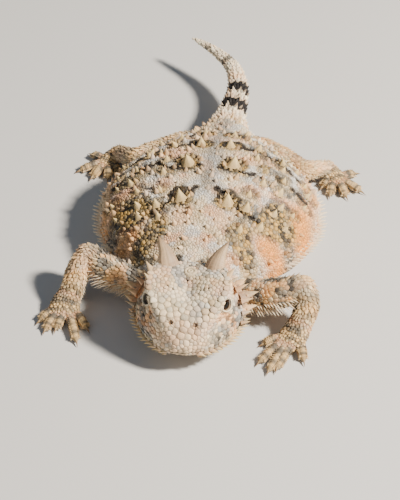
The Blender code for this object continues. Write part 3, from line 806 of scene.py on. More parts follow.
    def trunk_relief(self, p: Rows) -> Rows:
        """Loose folds, the crease of the flank, wrinkles of the neck and a low step behind each band."""
        half, _, edge, _ = FORM.trunk_at(p[:, 1]).T
        ax = np.abs(p[:, 0])
        crease = mound(p[:, 2] - edge - 2.2, 0.6) * (ax > 0.6 * half)
        wrinkle = np.sin(p[:, 1] * 2.2 + 2 * self.noise(p, 5.0)) * mound(p[:, 1] + 26, 4)
        push = 0.36 * self.noise.layered(p, 6.0) + 0.14 * self.noise(p, 2.2) - 0.35 * crease + 0.18 * wrinkle
        for band in BANDS:
            into, depth = band.into(*wander(p))
            lip = ramp(-0.25, 0.2, -into) * (1 - ramp(0.8, 3.6, -into))
            hollow = ramp(-0.25, 0.1, into) * (1 - ramp(0.5, 1.9, into))
            push += (0.32 * lip - 0.26 * hollow) * np.clip(depth / 2, 0, 1)
        return push

    def head_relief(self, p: Rows) -> Rows:
        """Domes over the eyes, the valley between, brow ridges, the crown ring, cheeks and lips."""
        x, y, z = p.T
        ax = np.abs(x)
        brow_x = FORM.head_at(y)[:, 1]
        groove = mound(z - FORM.lips_at(y), 0.16) * (y < LIPS_TO)
        crown = ramp(12.0, 13.4, z)
        dome = mound(ax - 4.4, 2.3, y + 38.9, 3.0)
        valley = mound(x, 1.5) * ramp(-45.5, -41, y) * (1 - ramp(-37, -35.9, y))
        brow = mound(ax - brow_x + 0.2, 0.6) * ramp(-45.5, -43.5, y)
        far = np.hypot(x - self.crown_ring[0], y - self.crown_ring[1])
        ring = 0.12 * np.exp(-((far / 1.5) ** 4))
        nape = mound(y + 33.0, 0.8) * mound(x, 3.0)
        cheek = 0.16 * self.noise.layered(p, 2.4) * (1 - crown)
        forms = 0.42 * dome - 0.62 * valley + 0.34 * brow + ring - 0.15 * nape
        return crown * forms + cheek - 0.34 * groove

    def opening(self, side: int, points: Rows) -> Rows:
        """How far inside the opening between the lids each point lies: above 0 is inside."""
        centre, out, long_way, short_way = self.lid_axes(side)
        d = unit(points - centre)
        facing = np.maximum(d @ out, 1e-3)
        u = (d @ long_way) / facing / self.slit[0]
        w = (d @ short_way) / facing / self.slit[1]
        room = 1 - np.minimum(u**2, 1) - np.abs(w)
        near = np.linalg.norm(points - centre, axis=1) < self.lid_shell + 0.9
        return np.where((d @ out > 0.4) & near & (np.abs(u) < 1), room, -1)

    def settle(self) -> None:
        """Bares the eyeballs and sinks the nostrils and pits, and keeps in hollow how deep the lid openings
        and pits lie, for the painted shade there.
        """
        for side in SIDES:
            centre = EYE_CENTRE * [side, 1, 1]
            inside = ramp(-0.05, 0.12, self.opening(side, self.points))
            away = self.points - centre
            far = np.linalg.norm(away, axis=1)
            deep = centre + away / far[:, None] * (self.eye_radius - 0.35)
            self.points += (deep - self.points) * inside[:, None]
            self.hollow = np.maximum(self.hollow, inside)
        out = self.normals()
        holes = [(s * self.nostril[0], self.nostril[1], self.nostril_radius) for s in SIDES]
        holes += [(x, y, self.pit_radius) for x, y in self.pits]
        top = (self.points[:, 2] > SNOUT_FROM) & (self.zone == Zone.HEAD)
        deep = self.hole_depth
        for x, y, radius in holes:
            plan = np.hypot(self.points[:, 0] - x, self.points[:, 1] - y) + 99.0 * ~top
            far = np.linalg.norm(self.points - self.points[np.argmin(plan)], axis=1)
            depth = top * (1 - ramp(0.5 * radius, 1.25 * radius, far))
            # the pits' depth, not the nostrils', darkens the skin as painted shade
            self.hollow = np.maximum(self.hollow, depth * (radius == self.pit_radius))
            rim = mound(far - 1.8 * radius, 0.7 * radius)
            self.points += out * (0.16 * deep * rim * top - deep * depth)[:, None]

    def corner_uv(self) -> Rows:
        """A place on the bake map for each corner of each face, with no face torn by the map's edge."""
        owner = self.owner[self.faces]
        first = np.repeat(owner[:, :1], 3, axis=1)
        share, turn = self.share[self.faces], self.turn[self.faces]
        for number in range(len(self.lengths)):
            stray = (first == number) & (owner != number)
            if stray.any():
                share[stray], turn[stray], _ = self.charts.along(number, self.points[self.faces[stray]])
        turn = turn[:, :1] + (turn - turn[:, :1] + 0.5) % 1 - 0.5
        return self.charts.place(first.ravel(), share.ravel(), turn.ravel())


@dataclass(frozen=True)
class Colours:
    """The animal's pigments, 0 to 255 a channel."""

    pale: tuple = (200, 181, 150)
    ash: tuple = (130, 126, 122)
    pink: tuple = (214, 164, 132)
    orange: tuple = (224, 152, 78)
    dark: tuple = (44, 38, 34)
    gold: tuple = (182, 146, 80)
    olive: tuple = (118, 106, 78)
    cream: tuple = (222, 196, 142)
    white: tuple = (226, 210, 184)
    head: tuple = (212, 193, 160)
    slate: tuple = (168, 166, 164)
    blush: tuple = (224, 178, 138)
    limb: tuple = (202, 168, 120)
    finger: tuple = (208, 176, 126)
    belly: tuple = (214, 200, 180)
    soot: tuple = (30, 27, 27)
    horn: tuple = (188, 160, 126)
    frost: tuple = (204, 202, 198)
    flint: tuple = (112, 112, 108)
    snout: tuple = (240, 216, 184)
    nostril: tuple = (140, 98, 58)
    wrist: tuple = (186, 138, 104)

    def of(self, name: str) -> Rows:
        """One named colour in linear light."""
        return srgb(*getattr(self, name))

    def over(self, base: Rows, *layers: tuple) -> Rows:
        """Lays colours over a base, one after the other.

        Args:
            base: Linear colours.
            layers: For each layer a colour or its name, and the share that it covers.

        Returns:
            The blended colours.
        """
        for tone, share in layers:
            base = mix(base, self.of(tone) if isinstance(tone, str) else tone, share)
        return base


COLOURS = Colours()


@dataclass
class Markings:
    """Works out the pigment at any place on the animal."""

    noise: Noise = Noise(MARKINGS_SEED)
    spots: tuple = (
        # distance from the middle line, y, half width, half length, pigment, strength
        (9.6, -7.0, 3.6, 1.9, "pink", 0.75),
        (4.0, -17.5, 2.6, 3.4, "blush", 0.6),
        (6.6, 3.2, 3.4, 2.2, "pink", 0.7),
        (13.0, 5.4, 3.6, 1.8, "pink", 0.7),
        (16.6, -6.4, 3.4, 1.8, "pink", 0.75),
        (7.0, 13.6, 3.0, 1.8, "pink", 0.6),
        (15.4, -20.6, 4.4, 3.4, "orange", 1.0),
        (20.8, -10.6, 3.2, 7.5, "orange", 1.0),
        (19.6, -17.4, 2.2, 2.6, "flint", 0.85),
        (21.5, 1.0, 2.4, 6.0, "orange", 0.7),
        (14.2, -2.0, 1.1, 1.0, "white", 0.9),
        (12.6, -6.6, 1.6, 1.2, "white", 0.6),
        (5.6, -6.6, 2.4, 1.3, "white", 0.7),
        (5.0, 3.0, 2.6, 1.2, "white", 0.6),
    )
    tail_marks: tuple = (
        # share of the tail's length, half width of the dark mark, strength
        (0.34, 0.040, 1), (0.46, 0.036, 1), (0.665, 0.016, 0.75), (0.81, 0.012, 0.8),
    )
    rosettes: list[tuple[float, float, float, float]] = field(default_factory=list)

    def cloud(self, p: Rows, shift: float, size: float, low: float, high: float) -> Rows:
        """Soft clouds of the given size that cover more the lower the two thresholds are."""
        return ramp(low, high, self.noise.layered(p + shift, size))

    def folds(self, p: Rows) -> tuple[Rows, Rows, Rows]:
        """The dark line painted as shadow under each fold's edge, the mottled field before it and the pale
        strip behind it.
        """
        place = wander(p)
        speck = self.noise(p + 90, 0.5)
        unbroken = ramp(-0.5, -0.15, self.noise(p + 120, 4.0) + 0.35 * (place[0] < 9))
        uneven = 1 + 0.6 * self.noise(p + 61, 2.0)
        found = np.zeros((3, len(p)))
        for band in BANDS:
            into, depth = band.into(*place)
            there = ramp(0.2, 1.2, depth) * unbroken
            thin = (0.55 + 0.32 * depth) * uneven
            shadow_line_end = ramp(0.7 * thin, 1.1 * thin + 0.05, into + 0.15 * speck)
            field_end = ramp(0.5 * depth, 1.15 * depth + 0.05, into + 0.8 * speck)
            # painted shadow: a near-black line just in front of each fold's rear edge, where its overhang
            # shades the skin
            line = ramp(-0.12, 0.1, into) * (1 - shadow_line_end)
            before = ramp(0.0, 0.4, into) * (1 - field_end)
            behind = ramp(0.0, 0.2, -into) * (1 - ramp(1.0, 2.8, -into))
            found = np.maximum(found, [line * there, before * there, behind * there])
        return tuple(found)

    def patch(self, x: Rows, y: Rows) -> Rows:
        """How far each place belongs to the olive patches of shoulder and flank, from 0 to 1."""
        ax = np.abs(x) + np.where(x > 0, 1.9, 0.4) * ramp(-16.0, -21.0, y)
        total = np.zeros(len(x))
        for x0, y0, wide, long, lean in ((10.6, -22.2, 3.2, 4.6, -0.5), (15.6, -13.6, 4.4, 5.2, 0.15)):
            total += mound(ax - x0 - lean * (y - y0), wide, y - y0, long)
        return ramp(0.26, 0.58, total)

    def trunk(self, p: Rows) -> Rows:
        """Pigment of the trunk and neck."""
        c = COLOURS
        x, y, z = p.T
        ax = np.abs(x)
        wave = self.noise.layered(p, 5.0)
        fine = self.noise.layered(p + 40, 1.5)
        speck = self.noise(p + 90, 0.5)
        base = c.over(
            c.of("pale"),
            ("white", self.cloud(p, 21, 3.0, -0.1, 0.4) * 0.7),
            ("pink", self.cloud(p, 9, 3.6, 0.0, 0.3) * 0.6),
            ("frost", self.cloud(p, 66, 3.4, 0.0, 0.25) * 0.75),
            ("ash", mound(x + 0.4 * wave, 2.3) * ramp(-13, -8, y) * 0.8),
        )
        for x0, y0, wide, long, name, strength in self.spots:
            near = mound(ax + 0.9 * wave - x0, wide, y + 0.9 * fine - y0, long)
            shaded = np.where(x < -12, 0.55, 1.0) if name == "orange" else 1.0
            base = c.over(base, (name, ramp(0.05, 0.95, near) * strength * shaded))
        tone = c.over(
            c.of("olive"),
            ("gold", ramp(-0.35, 0.3, speck + fine)),
            ("cream", ramp(0.4, 0.8, speck) * 0.6),
            ("flint", self.cloud(p, 17, 1.2, -0.1, 0.3) * 0.5),
            ("dark", ramp(0.02, 0.35, -fine - 0.6 * speck) * 0.95),
        )
        grey = mound(ax - 19.6, 2.6, y + 17.4, 3.0)
        line, before, strip = self.folds(p)
        base = c.over(
            base,
            ("dark", ramp(0.3, 0.7, grey) * ramp(0.0, 0.35, speck - 0.4 * fine) * 0.8),
            ("frost", strip * 0.7),
            (c.over(tone, ("flint", 0.35)), before * 0.9),
        )
        for x0, y0, reach, strength in self.rosettes:
            far = np.hypot(x - x0, y - y0 - 0.2 * reach) / reach + 0.3 * fine
            near = (1 - ramp(0.8, 1.15, far)) * strength
            rear = ramp(-0.1, 0.5, (y - y0) / reach + 0.3 * speck)
            base = c.over(base, (c.over(tone, ("dark", rear * 0.85)), near))
        patch = self.patch(x + 0.8 * wave, y + 0.6 * fine)
        low = 1 - ramp(2.0, 4.2, z + 0.8 * wave)
        # line is the painted shadow under each fold's edge
        return c.over(base, ("dark", line * 0.97), (tone, patch * 0.95), ("belly", low))

    def head(self, p: Rows) -> Rows:
        """Pigment of the head."""
        c = COLOURS
        x, y, z = p.T
        ax = np.abs(x)
        soft = self.noise.layered(p + 20, 2.6)
        speck = self.noise(p + 70, 0.8)
        crack = (y > -36.6) * (z > CROWN_FROM) * ramp(0.3, 0.5, speck + 0.4 * self.noise(p + 8, 0.35))
        snout = ramp(-43.0, -47.5, y)
        cheek = (1 - ramp(11.0, 13.2, z)) * ramp(4.0, 7.5, ax)
        temple = ramp(-38, -35, y) * ramp(7.5, 9.5, ax)
        nostril = mound(ax - 2.5, 0.62, y + 46.7, 0.38) * (z > SNOUT_FROM)
        return c.over(
            c.of("head"),
            ("white", ramp(-0.3, 0.5, soft)),
            ("slate", self.cloud(p, 81, 2.4, 0.0, 0.25) * 0.8),
            ("slate", ramp(-37.0, -34.5, y) * (z > CROWN_FROM) * 0.55),
            ("blush", self.cloud(p, 55, 2.4, 0.02, 0.28) * 0.55),
            ("dark", crack * 0.6),
            ("snout", snout * 0.5),
            ("blush", snout * ramp(-0.3, 0.4, soft) * 0.5),
            ("orange", cheek * ramp(-0.05, 0.25, soft + 0.3 * speck) * 0.6),
            ("flint", cheek * ramp(0.08, 0.3, -soft + 0.4 * speck) * 0.8),
            ("dark", cheek * self.cloud(p, 140, 1.3, 0.22, 0.4) * 0.7),
            ("blush", temple * 0.7),
            ("nostril", np.clip(nostril * 1.3, 0, 1)),
            ("belly", 1 - ramp(3.8, 5.0, z)),
        )

    def limbs(self, p: Rows, zone: Rows, share: Rows) -> Rows:
        """Pigment of the limbs, hands and feet."""
        c = COLOURS
        arm, hand = zone == Zone.ARM, zone == Zone.HAND
        soft = self.noise.layered(p + 31, 2.4)
        speck = self.noise(p + 13, 0.9)
        upper = arm & (np.abs(p[:, 0]) < 21)
        tint = self.noise.layered(p + 5, 2.6) + 0.25 * speck
        band = mound(p[:, 1] + 32.2, 2.0) * (p[:, 2] < 6.5) * arm
        bars = np.exp(-(((share - 0.44) / 0.10) ** 4)) + 0.9 * np.exp(-(((share - 0.72) / 0.07) ** 4))
        knuckle = np.where(hand, bars * ramp(-0.6, -0.2, self.noise(p + 3, 1.8)), 0)
        return c.over(
            c.of("limb"),
            ("pale", ramp(-0.4, 0.5, soft)),
            ("pink", self.cloud(p, 77, 2.0, 0.0, 0.3) * 0.35),
            ("orange", ramp(0.12, 0.32, -tint) * np.where(upper, 0.28, 0.12)),
            ("flint", ramp(-0.12, 0.1, tint) * np.where(upper, 0.85, 0.35)),
            ("dark", ramp(0.14, 0.3, tint) * np.where(upper, 0.75, 0.3)),
            ("gold", band * ramp(-0.3, 0.2, soft) * 0.75),
            ("dark", band * ramp(0.08, 0.32, speck) * 0.9),
            ("wrist", np.where(hand, 1 - ramp(0.2, 0.4, share), 0) * 0.6),
            ("finger", np.where(hand, ramp(0.25, 0.6, share), 0) * 0.85),
            (c.over(c.of("flint"), ("dark", 0.6)), np.clip(knuckle, 0, 1) * 0.85),
            ("belly", (1 - ramp(0.3, 1.2, p[:, 2])) * 0.5),
        )

    def tail(self, p: Rows, share: Rows) -> Rows:
        """Pigment of the tail, banded dark and pale."""
        soft = self.noise.layered(p + 50, 1.8)
        start = 1 - ramp(0.12, 0.24, share)
        at = share + 0.012 * soft
        return COLOURS.over(
            COLOURS.of("white"),
            ("blush", ramp(-0.2, 0.5, soft) * 0.7),
            ("gold", start * self.cloud(p, 4, 1.6, -0.1, 0.15) * 0.85),
            ("dark", start * self.cloud(p, 44, 1.4, 0.15, 0.3) * 0.7),
            *[
                ("soot", (1 - ramp(0.7 * half, 1.25 * half, np.abs(at - middle))) * strength)
                for middle, half, strength in self.tail_marks
            ],
        )

    def at(self, p: Rows, zone: Rows, share: Rows) -> Rows:
        """Pigment at any place.

        Args:
            p: Places in millimetres.
            zone: The zone's number for each place.
            share: How far along its length each place lies.

        Returns:
            Linear colours.
        """
        x, y, z = p.T
        trunk = self.trunk(p)
        neck = mix(self.head(p), trunk, ramp(-32.5, -29.5, y + 0.6 * self.noise(p, 1.5)))
        found = np.where((zone == Zone.HEAD)[:, None], neck, trunk)
        # dark marks beside the horns' inner feet: dark pigment together with painted shadow of the horns
        nape = mound(np.abs(x) - 3.3, 0.8, y + 29.0, 1.5) * (z > 8)
        nape = ramp(0.25, 0.6, nape + 0.2 * self.noise(p + 90, 0.6))
        found = COLOURS.over(found, ("dark", nape * 0.92))
        limb = np.isin(zone, (Zone.ARM, Zone.LEG, Zone.HAND))
        found = np.where(limb[:, None], self.limbs(p, zone, share), found)
        tail = mix(trunk, self.tail(p, share), ramp(28, 31, y))
        return np.where((zone == Zone.TAIL)[:, None], tail, found)


@dataclass
class Seeds:
    """Where each scale grows, which way it lies and how large it is."""

    place: Rows
    out: Rows
    lie: Rows
    radius: Rows
    kind: Rows
    zone: Rows
    share: Rows
    chart_uv: Rows

    def pick(self, chosen: Rows) -> "Seeds":
        """The chosen seeds alone."""
        return Seeds(*(getattr(self, name)[chosen] for name in self.__dataclass_fields__))

    def plus(self, other: "Seeds") -> "Seeds":
        """These seeds followed by others."""
        pairs = ((getattr(self, name), getattr(other, name)) for name in self.__dataclass_fields__)
        return Seeds(*(np.concatenate(pair) for pair in pairs))


@dataclass
class ScaleField:
    """Spreads scales evenly over the skin, each of its zone's size and form."""

    surface: "Surface"
    markings: Markings
    avoid: list[tuple[Rows, float]]
    seed: int = 5
    density: float = 55.0
    closeness: float = 0.93

    def spread(self) -> Seeds:
        """Sets the planned scales, draws more places at random and keeps those that have room."""
        draw = np.random.default_rng(self.seed)
        skin = self.surface.skin
        a, b, c = (skin.points[skin.faces[:, i]] for i in range(3))
        area = 0.5 * np.linalg.norm(np.cross(b - a, c - a), axis=1)
        count = int(area.sum() * self.density)
        face = draw.choice(len(area), count, p=area / area.sum())
        s, t = np.sqrt(draw.random(count)), draw.random(count)
        weights = np.stack([1 - s, s * (1 - t), s * t], 1)[..., None]
        corners = skin.faces[face]
        place = (skin.points[corners] * weights).sum(1)
        out = unit((skin.normals()[corners] * weights).sum(1))
        kind, radius = self.sizes(place, out, corners[:, 0], draw)
        pool = self.seeds(place, out, corners[:, 0], radius, kind)
        pool = pool.pick(np.flatnonzero(self.free(pool, corners[:, 0])))
        set_first = self.planned()
        every = set_first.plus(pool)
        return every.pick(self.thin(every, len(set_first.radius), draw))

    def seeds(self, place: Rows, out: Rows, first: Rows, radius: Rows, kind: Rows) -> Seeds:
        """Seeds at places on the skin.

        Args:
            place: Places in millimetres.
            out: Outward directions.
            first: Number of the skin point nearest to each.
            radius: Radii.
            kind: Form numbers.

        Returns:
            The seeds.
        """
        skin = self.surface.skin
        lie = skin.lie[first]
        lie = unit(lie - (lie * out).sum(1)[:, None] * out)
        chart_uv = skin.charts.place(skin.owner[first], skin.share[first], skin.turn[first])
        return Seeds(place, out, lie, radius, kind, skin.zone[first], skin.share[first], chart_uv)

    def free(self, pool: Seeds, first: Rows) -> Rows:
        """Which places bear scales: not the eyes, nostrils, pits, lips' edge, cones' feet or digits."""
        skin = self.surface.skin
        x, y, z = pool.place.T
        head = pool.zone == Zone.HEAD
        clear = np.ones(len(x), bool)
        for side in SIDES:
            clear &= skin.opening(side, pool.place) < -0.1
            far = np.hypot(x - side * skin.nostril[0], 1.7 * (y - skin.nostril[1]))
            clear &= ~(head & (z > SNOUT_FROM) & (far < 1.5 * skin.nostril_radius))
        for spot, reach in [*[(pit, 0.48) for pit in skin.pits], (skin.crown_ring, 1.45)]:
            clear &= ~(head & (z > CROWN_FROM) & (np.hypot(x - spot[0], y - spot[1]) < reach))
        clear &= ~((np.abs(z - FORM.lips_at(y)) < 0.26) & (y < LIPS_TO) & head)
        digit = np.array([length.name.startswith("digit") for length in skin.lengths])
        clear &= ~(digit[skin.owner[first]] & (pool.share > SCUTES_FROM))
        for spot, room in self.avoid:
            clear &= ((pool.place - spot) ** 2).sum(1) > room**2
        return clear

    def planned(self) -> Seeds:
        """Scales in set places: round the crown ring and nostrils, along brows, lips and lids."""
        skin = self.surface.skin
        x0, y0 = skin.crown_ring
        wanted = [
            ((x0 + 1.72 * math.sin(a), y0 + 0.9 * 1.72 * math.cos(a), ABOVE), 0.33, Kind.PLATE)
            for a in circle(17)
        ]
        for side in SIDES:
            for a in circle(15):
                at = (side * (4.7 + 2.75 * math.cos(a)), -33.3 + 2.15 * math.sin(a), ABOVE)
                wanted.append((at, 0.44, Kind.KEELED if math.sin(a) > 0.3 else Kind.PLATE))
            for y in np.arange(-36.2, -44.4, -1.18):
                brow = FORM.head_at(y)[0, 1]
                wanted.append(((side * (brow - 0.35), y, ABOVE), 0.62, Kind.PLATE))
            for a in circle(9):
                x, y = side * skin.nostril[0] + 0.80 * math.sin(a), skin.nostril[1] + 0.48 * math.cos(a)
                wanted.append(((x, y, ABOVE), 0.26, Kind.PLATE))
            centre, out, long_way, short_way = skin.lid_axes(side)
            for a in circle(30):
                for wide, high, radius in ((1.28, 1.75, 0.15), (1.56, 2.7, 0.18), (1.9, 3.8, 0.21)):
                    across = long_way * (math.cos(a) * skin.slit[0] * wide)
                    rise = short_way * (math.sin(a) * skin.slit[1] * high)
                    wanted.append((centre + 2.5 * unit(out + across + rise), radius, Kind.GRANULE))
            for lift in (0.52, -0.52):
                for y in np.arange(-37.6, -48.4, -0.86):
                    sizes = FORM.head_at(y)[0]
                    at = (side * (0.5 * (sizes[5] + sizes[7]) + 0.4), y, FORM.lips_at(y)[0] + lift)
                    wanted.append((at, 0.42, Kind.PLATE))
        places, radius, kind = zip(*wanted)
        found = [self.surface.under(at) if at[2] == ABOVE else self.surface.nearest(at) for at in places]
        place, out, first = (np.array(rows) for rows in zip(*found))
        return self.seeds(place, out, first, np.array(radius), np.array(kind))

    def thin(self, pool: Seeds, count: int, draw: np.random.Generator) -> Rows:
        """Keeps the first ones given, then the largest, and drops what stands too near to one kept."""
        later = np.arange(len(pool.radius)) >= count
        order = np.lexsort((draw.random(len(later)), -pool.radius, later))
        tree = search_tree(pool.place)
        gone = np.zeros(len(order), bool)
        kept = []
        radius = pool.radius.tolist()
        for i in order:
            if gone[i]:
                continue
            kept.append(i)
            r = radius[i]
            for _, j, far in tree.find_range(pool.place[i], 2 * r):
                if far < self.closeness * (r + radius[j]):
                    gone[j] = True
        return np.array(kept)

    def sizes(
        self, p: Rows, out: Rows, first: Rows, draw: np.random.Generator
    ) -> tuple[Rows, Rows]:
        """Chooses form and radius.

        Args:
            p: Places in millimetres.
            out: Outward directions.
            first: Number of the skin point nearest to each.
            draw: The random draw.

        Returns:
            Form numbers and radii.
        """
        count = len(p)
        x, y, z = p.T
        zone = self.surface.skin.zone[first]
        luck, ax = draw.random(count), np.abs(x)
        kind = np.full(count, Kind.GRANULE)
        _, _, strip = self.markings.folds(p)
        radius = (0.215 - 0.045 * strip) * draw.uniform(0.88, 1.12, count)
        trunk, limb = np.isin(zone, (Zone.TRUNK, Zone.NECK)), np.isin(zone, (Zone.ARM, Zone.LEG))
        patch = trunk & (self.markings.patch(x, y) > 0.4) & (z > 4)
        back = trunk & (z > 5.0) & ~patch
        head = zone == Zone.HEAD
        domes = mound(ax - 4.4, 2.5, y + 38.7, 3.2) > 0.35
        side = head & (out[:, 2] < 0.45)
        snout = head & (y < -42.6)
        choices = (
            # where, chance, form, smallest radius, largest radius
            (patch, 0.5, Kind.GRANULE, 0.22, 0.30),
            (patch, 0.09, Kind.GRANULE, 0.34, 0.54),
            (back & (strip < 0.3), 0.014, Kind.KEELED, 0.28, 0.40),
            (back, 0.0022, Kind.CONE, 0.44, 0.72),
            (patch, 0.0010, Kind.CONE, 0.40, 0.60),
            (trunk & (z < 2.4) & (out[:, 2] < 0.2), 1.0, Kind.BELLY, 0.32, 0.36),
            (limb, 1.0, Kind.KEELED, 0.23, 0.36),
            (limb, 0.05, Kind.KEELED, 0.38, 0.46),
            (zone == Zone.TAIL, 1.0, Kind.KEELED, 0.30, 0.42),
            (zone == Zone.HAND, 1.0, Kind.KEELED, 0.22, 0.30),
            (head, 1.0, Kind.PLATE, 0.32, 0.42),
            (snout, 1.0, Kind.PLATE, 0.44, 0.58),
            (snout, 0.04, Kind.PLATE, 0.58, 0.68),
            (head & domes & (out[:, 2] > 0.4), 1.0, Kind.PLATE, 0.29, 0.40),
            (head & (y > -35.8), 1.0, Kind.PLATE, 0.32, 0.46),
            (side, 1.0, Kind.PLATE, 0.26, 0.40),
            (side & (ax > 5), 0.7, Kind.KEELED, 0.26, 0.42),
            (head & (z < 5.0), 1.0, Kind.BELLY, 0.30, 0.34),
        )
        for where, chance, form, low, high in choices:
            chosen = where & (luck < chance)
            kind[chosen] = form
            radius[chosen] = draw.uniform(low, high, count)[chosen]
        for side in SIDES:
            far = np.linalg.norm(p - EYE_CENTRE * [side, 1, 1], axis=1)
            lid = head & (far < self.surface.skin.lid_shell + 0.35)
            radius[lid] = draw.uniform(0.15, 0.20, count)[lid]
            kind[lid] = Kind.GRANULE
        return kind, radius


@dataclass(frozen=True)
class ScaleShape:
    """Profile of one form of scale, from its sunk foot to its peak."""

    sides: int
    rings: tuple[tuple[float, float, float], ...]  # share of its room, height, lean towards the back
    peak: tuple[float, float]  # height and lean
    # tip_light and joint_light are painted light: higher parts are lightened as a painted highlight, the sunk
    # foot darkened as painted shade in the joints
    tip_light: float
    crease: float = 80.0
    joint_light: float = 0.42


SHAPES = {
    Kind.PLATE: ScaleShape(
        10, ((0.98, -0.16, 0), (0.93, 0.06, 0), (0.74, 0.22, 0), (0.4, 0.30, 0)), (0.33, 0), 0.10, 80, 0.26
    ),
    Kind.GRANULE: ScaleShape(7, ((0.97, -0.25, 0), (0.92, 0.1, 0.02), (0.58, 0.36, 0.1)), (0.44, 0.2), 0.18),
    Kind.KEELED: ScaleShape(
        8, ((0.98, -0.25, 0), (0.92, 0.12, 0.08), (0.52, 0.48, 0.55)), (0.8, 1.3), 0.36, 40
    ),
    Kind.CONE: ScaleShape(8, ((1.02, -0.2, 0), (0.84, 0.22, 0.02), (0.5, 0.82, 0.16)), (1.65, 0.4), 0.26, 48),
    Kind.BELLY: ScaleShape(6, ((0.97, -0.25, 0), (0.86, 0.14, 0.08)), (0.2, 0.14), 0.05),
}


@dataclass
class ScaleCoat:
    """Turns seeds into scales whose outlines meet their neighbours'."""

    seeds: Seeds
    markings: Markings
    neighbours: int = 13
    seed: int = 9
    tilt: float = 0.22

    def __post_init__(self) -> None:
        """Finds each scale's neighbours and its own pigment."""
        seeds = self.seeds
        count = len(seeds.place)
        tree = search_tree(seeds.place)
        nearest = (tree.find_n(p, self.neighbours + 1)[1:] for p in seeds.place)
        self.near = np.array([[j for _, j, _ in found] for found in nearest])
        self.side_way = np.cross(seeds.out, seeds.lie)
        self.draw = np.random.default_rng(self.seed)
        shade = self.draw.normal(1, 0.125, (count, 1)) + self.draw.normal(0, 0.045, (count, 1)) * [1, 0.1, -1]
        pale = (seeds.kind == Kind.CONE) * 0.45
        own = self.markings.at(seeds.place, seeds.zone, seeds.share)
        self.pigment = mix(own, srgb(204, 166, 122), pale) * shade

    def room(self, chosen: Rows, sides: int, phase: Rows) -> tuple[Rows, Rows]:
        """Reach of the chosen scales towards each of their corners.

        Args:
            chosen: Numbers of the scales.
            sides: Corners a scale.
            phase: Turn of the first corner of each.

        Returns:
            Reach and angle, by scale and corner.
        """
        s = self.seeds
        angle = phase[:, None] + circle(sides)
        near = self.near[chosen]
        d = s.place[near] - s.place[chosen][:, None]
        x = (d * s.lie[chosen][:, None]).sum(2)
        y = (d * self.side_way[chosen][:, None]).sum(2)
        far = np.maximum(np.linalg.norm(d, axis=2), 1e-4)
        flat = np.maximum(np.hypot(x, y), 1e-4)
        same = (s.out[near] * s.out[chosen][:, None]).sum(2) > 0.1
        own, other = s.radius[chosen][:, None], s.radius[near]
        half = 0.5 * far * (1 + (own**2 - other**2) / far**2)
        x, y = (x / flat)[..., None], (y / flat)[..., None]
        toward = x * np.cos(angle)[:, None] + y * np.sin(angle)[:, None]
        reach = np.where((toward > 0.05) & same[..., None], half[..., None] / np.maximum(toward, 0.05), 9.0)
        return np.clip(reach.min(1), 0.35 * own, 1.4 * own), angle

    def piece(self, name: str, chosen: Rows, kind: Kind) -> Piece:
        """Makes one coat piece of the chosen scales of one form."""
        shape, s = SHAPES[kind], self.seeds
        count, sides, rings = len(chosen), shape.sides, len(shape.rings)
        phase = np.zeros(count) if kind is Kind.KEELED else self.draw.uniform(0, 2 * np.pi, count)
        reach, angle = self.room(chosen, sides, phase)
        own = s.radius[chosen][:, None]
        tall = own * self.draw.uniform(0.75, 1.25, count)[:, None]
        lie, side, out = s.lie[chosen][:, None], self.side_way[chosen][:, None], s.out[chosen][:, None]
        lean = self.draw.normal(0, self.tilt, (count, 2, 1, 1))
        rise = unit(out + lie * lean[:, 0] + side * lean[:, 1])
        flat = ovals(s.lie[chosen], self.side_way[chosen], 1, 1, angle)
        place = s.place[chosen][:, None]
        layers, lights, spreads = [], [], []
        for share, height, back in shape.rings:
            ring = place + flat * (reach * share)[..., None] + rise * (tall * height)[..., None]
            layers.append(ring + lie * (own * back)[..., None])
            # painted light: the sunk foot ring is darkened as painted shade in the joints, higher rings and
            # the peak lightened as a painted highlight
            light = shape.joint_light if height < 0 else 0.94 + shape.tip_light * height
            lights.append(np.full((count, sides), light))
            spreads.append(np.full(sides, share))
        high, back = shape.peak
        peak = place + rise * (tall * high)[..., None] + lie * (own * back)[..., None]
        points = np.concatenate([*layers, peak], axis=1)
        light = np.concatenate([*lights, np.full((count, 1), 1.0 + shape.tip_light)], axis=1)
        each, inner = rings * sides + 1, np.arange(1, sides - 1)
        foot = np.column_stack([np.zeros(sides - 2, int), inner + 1, inner])
        top = fan((rings - 1) * sides, sides, rings * sides)
        faces = repeated(np.concatenate([ring_faces(rings, sides), top, foot]), each, count)
        colours = (self.pigment[chosen][:, None] * light[..., None]).reshape(-1, 3)
        spread = np.concatenate([*spreads, [0]])
        turn = np.concatenate([angle] * rings + [np.zeros((count, 1))], axis=1)
        local = np.stack([np.cos(turn), np.sin(turn)], 2) * (spread * UV_REACH)[None, :, None]
        uv = np.clip(s.chart_uv[chosen][:, None] + local, 0, 1).reshape(-1, 2)
        return make_piece(name, points.reshape(-1, 3), faces, colours, uv, shape.crease)


@dataclass(frozen=True)
class Thorn:
    """One large pointed scale."""

    root: Rows
    tip: Rows
    wide: float
    thick: float
    flat: Rows
    bend: float = 0.0


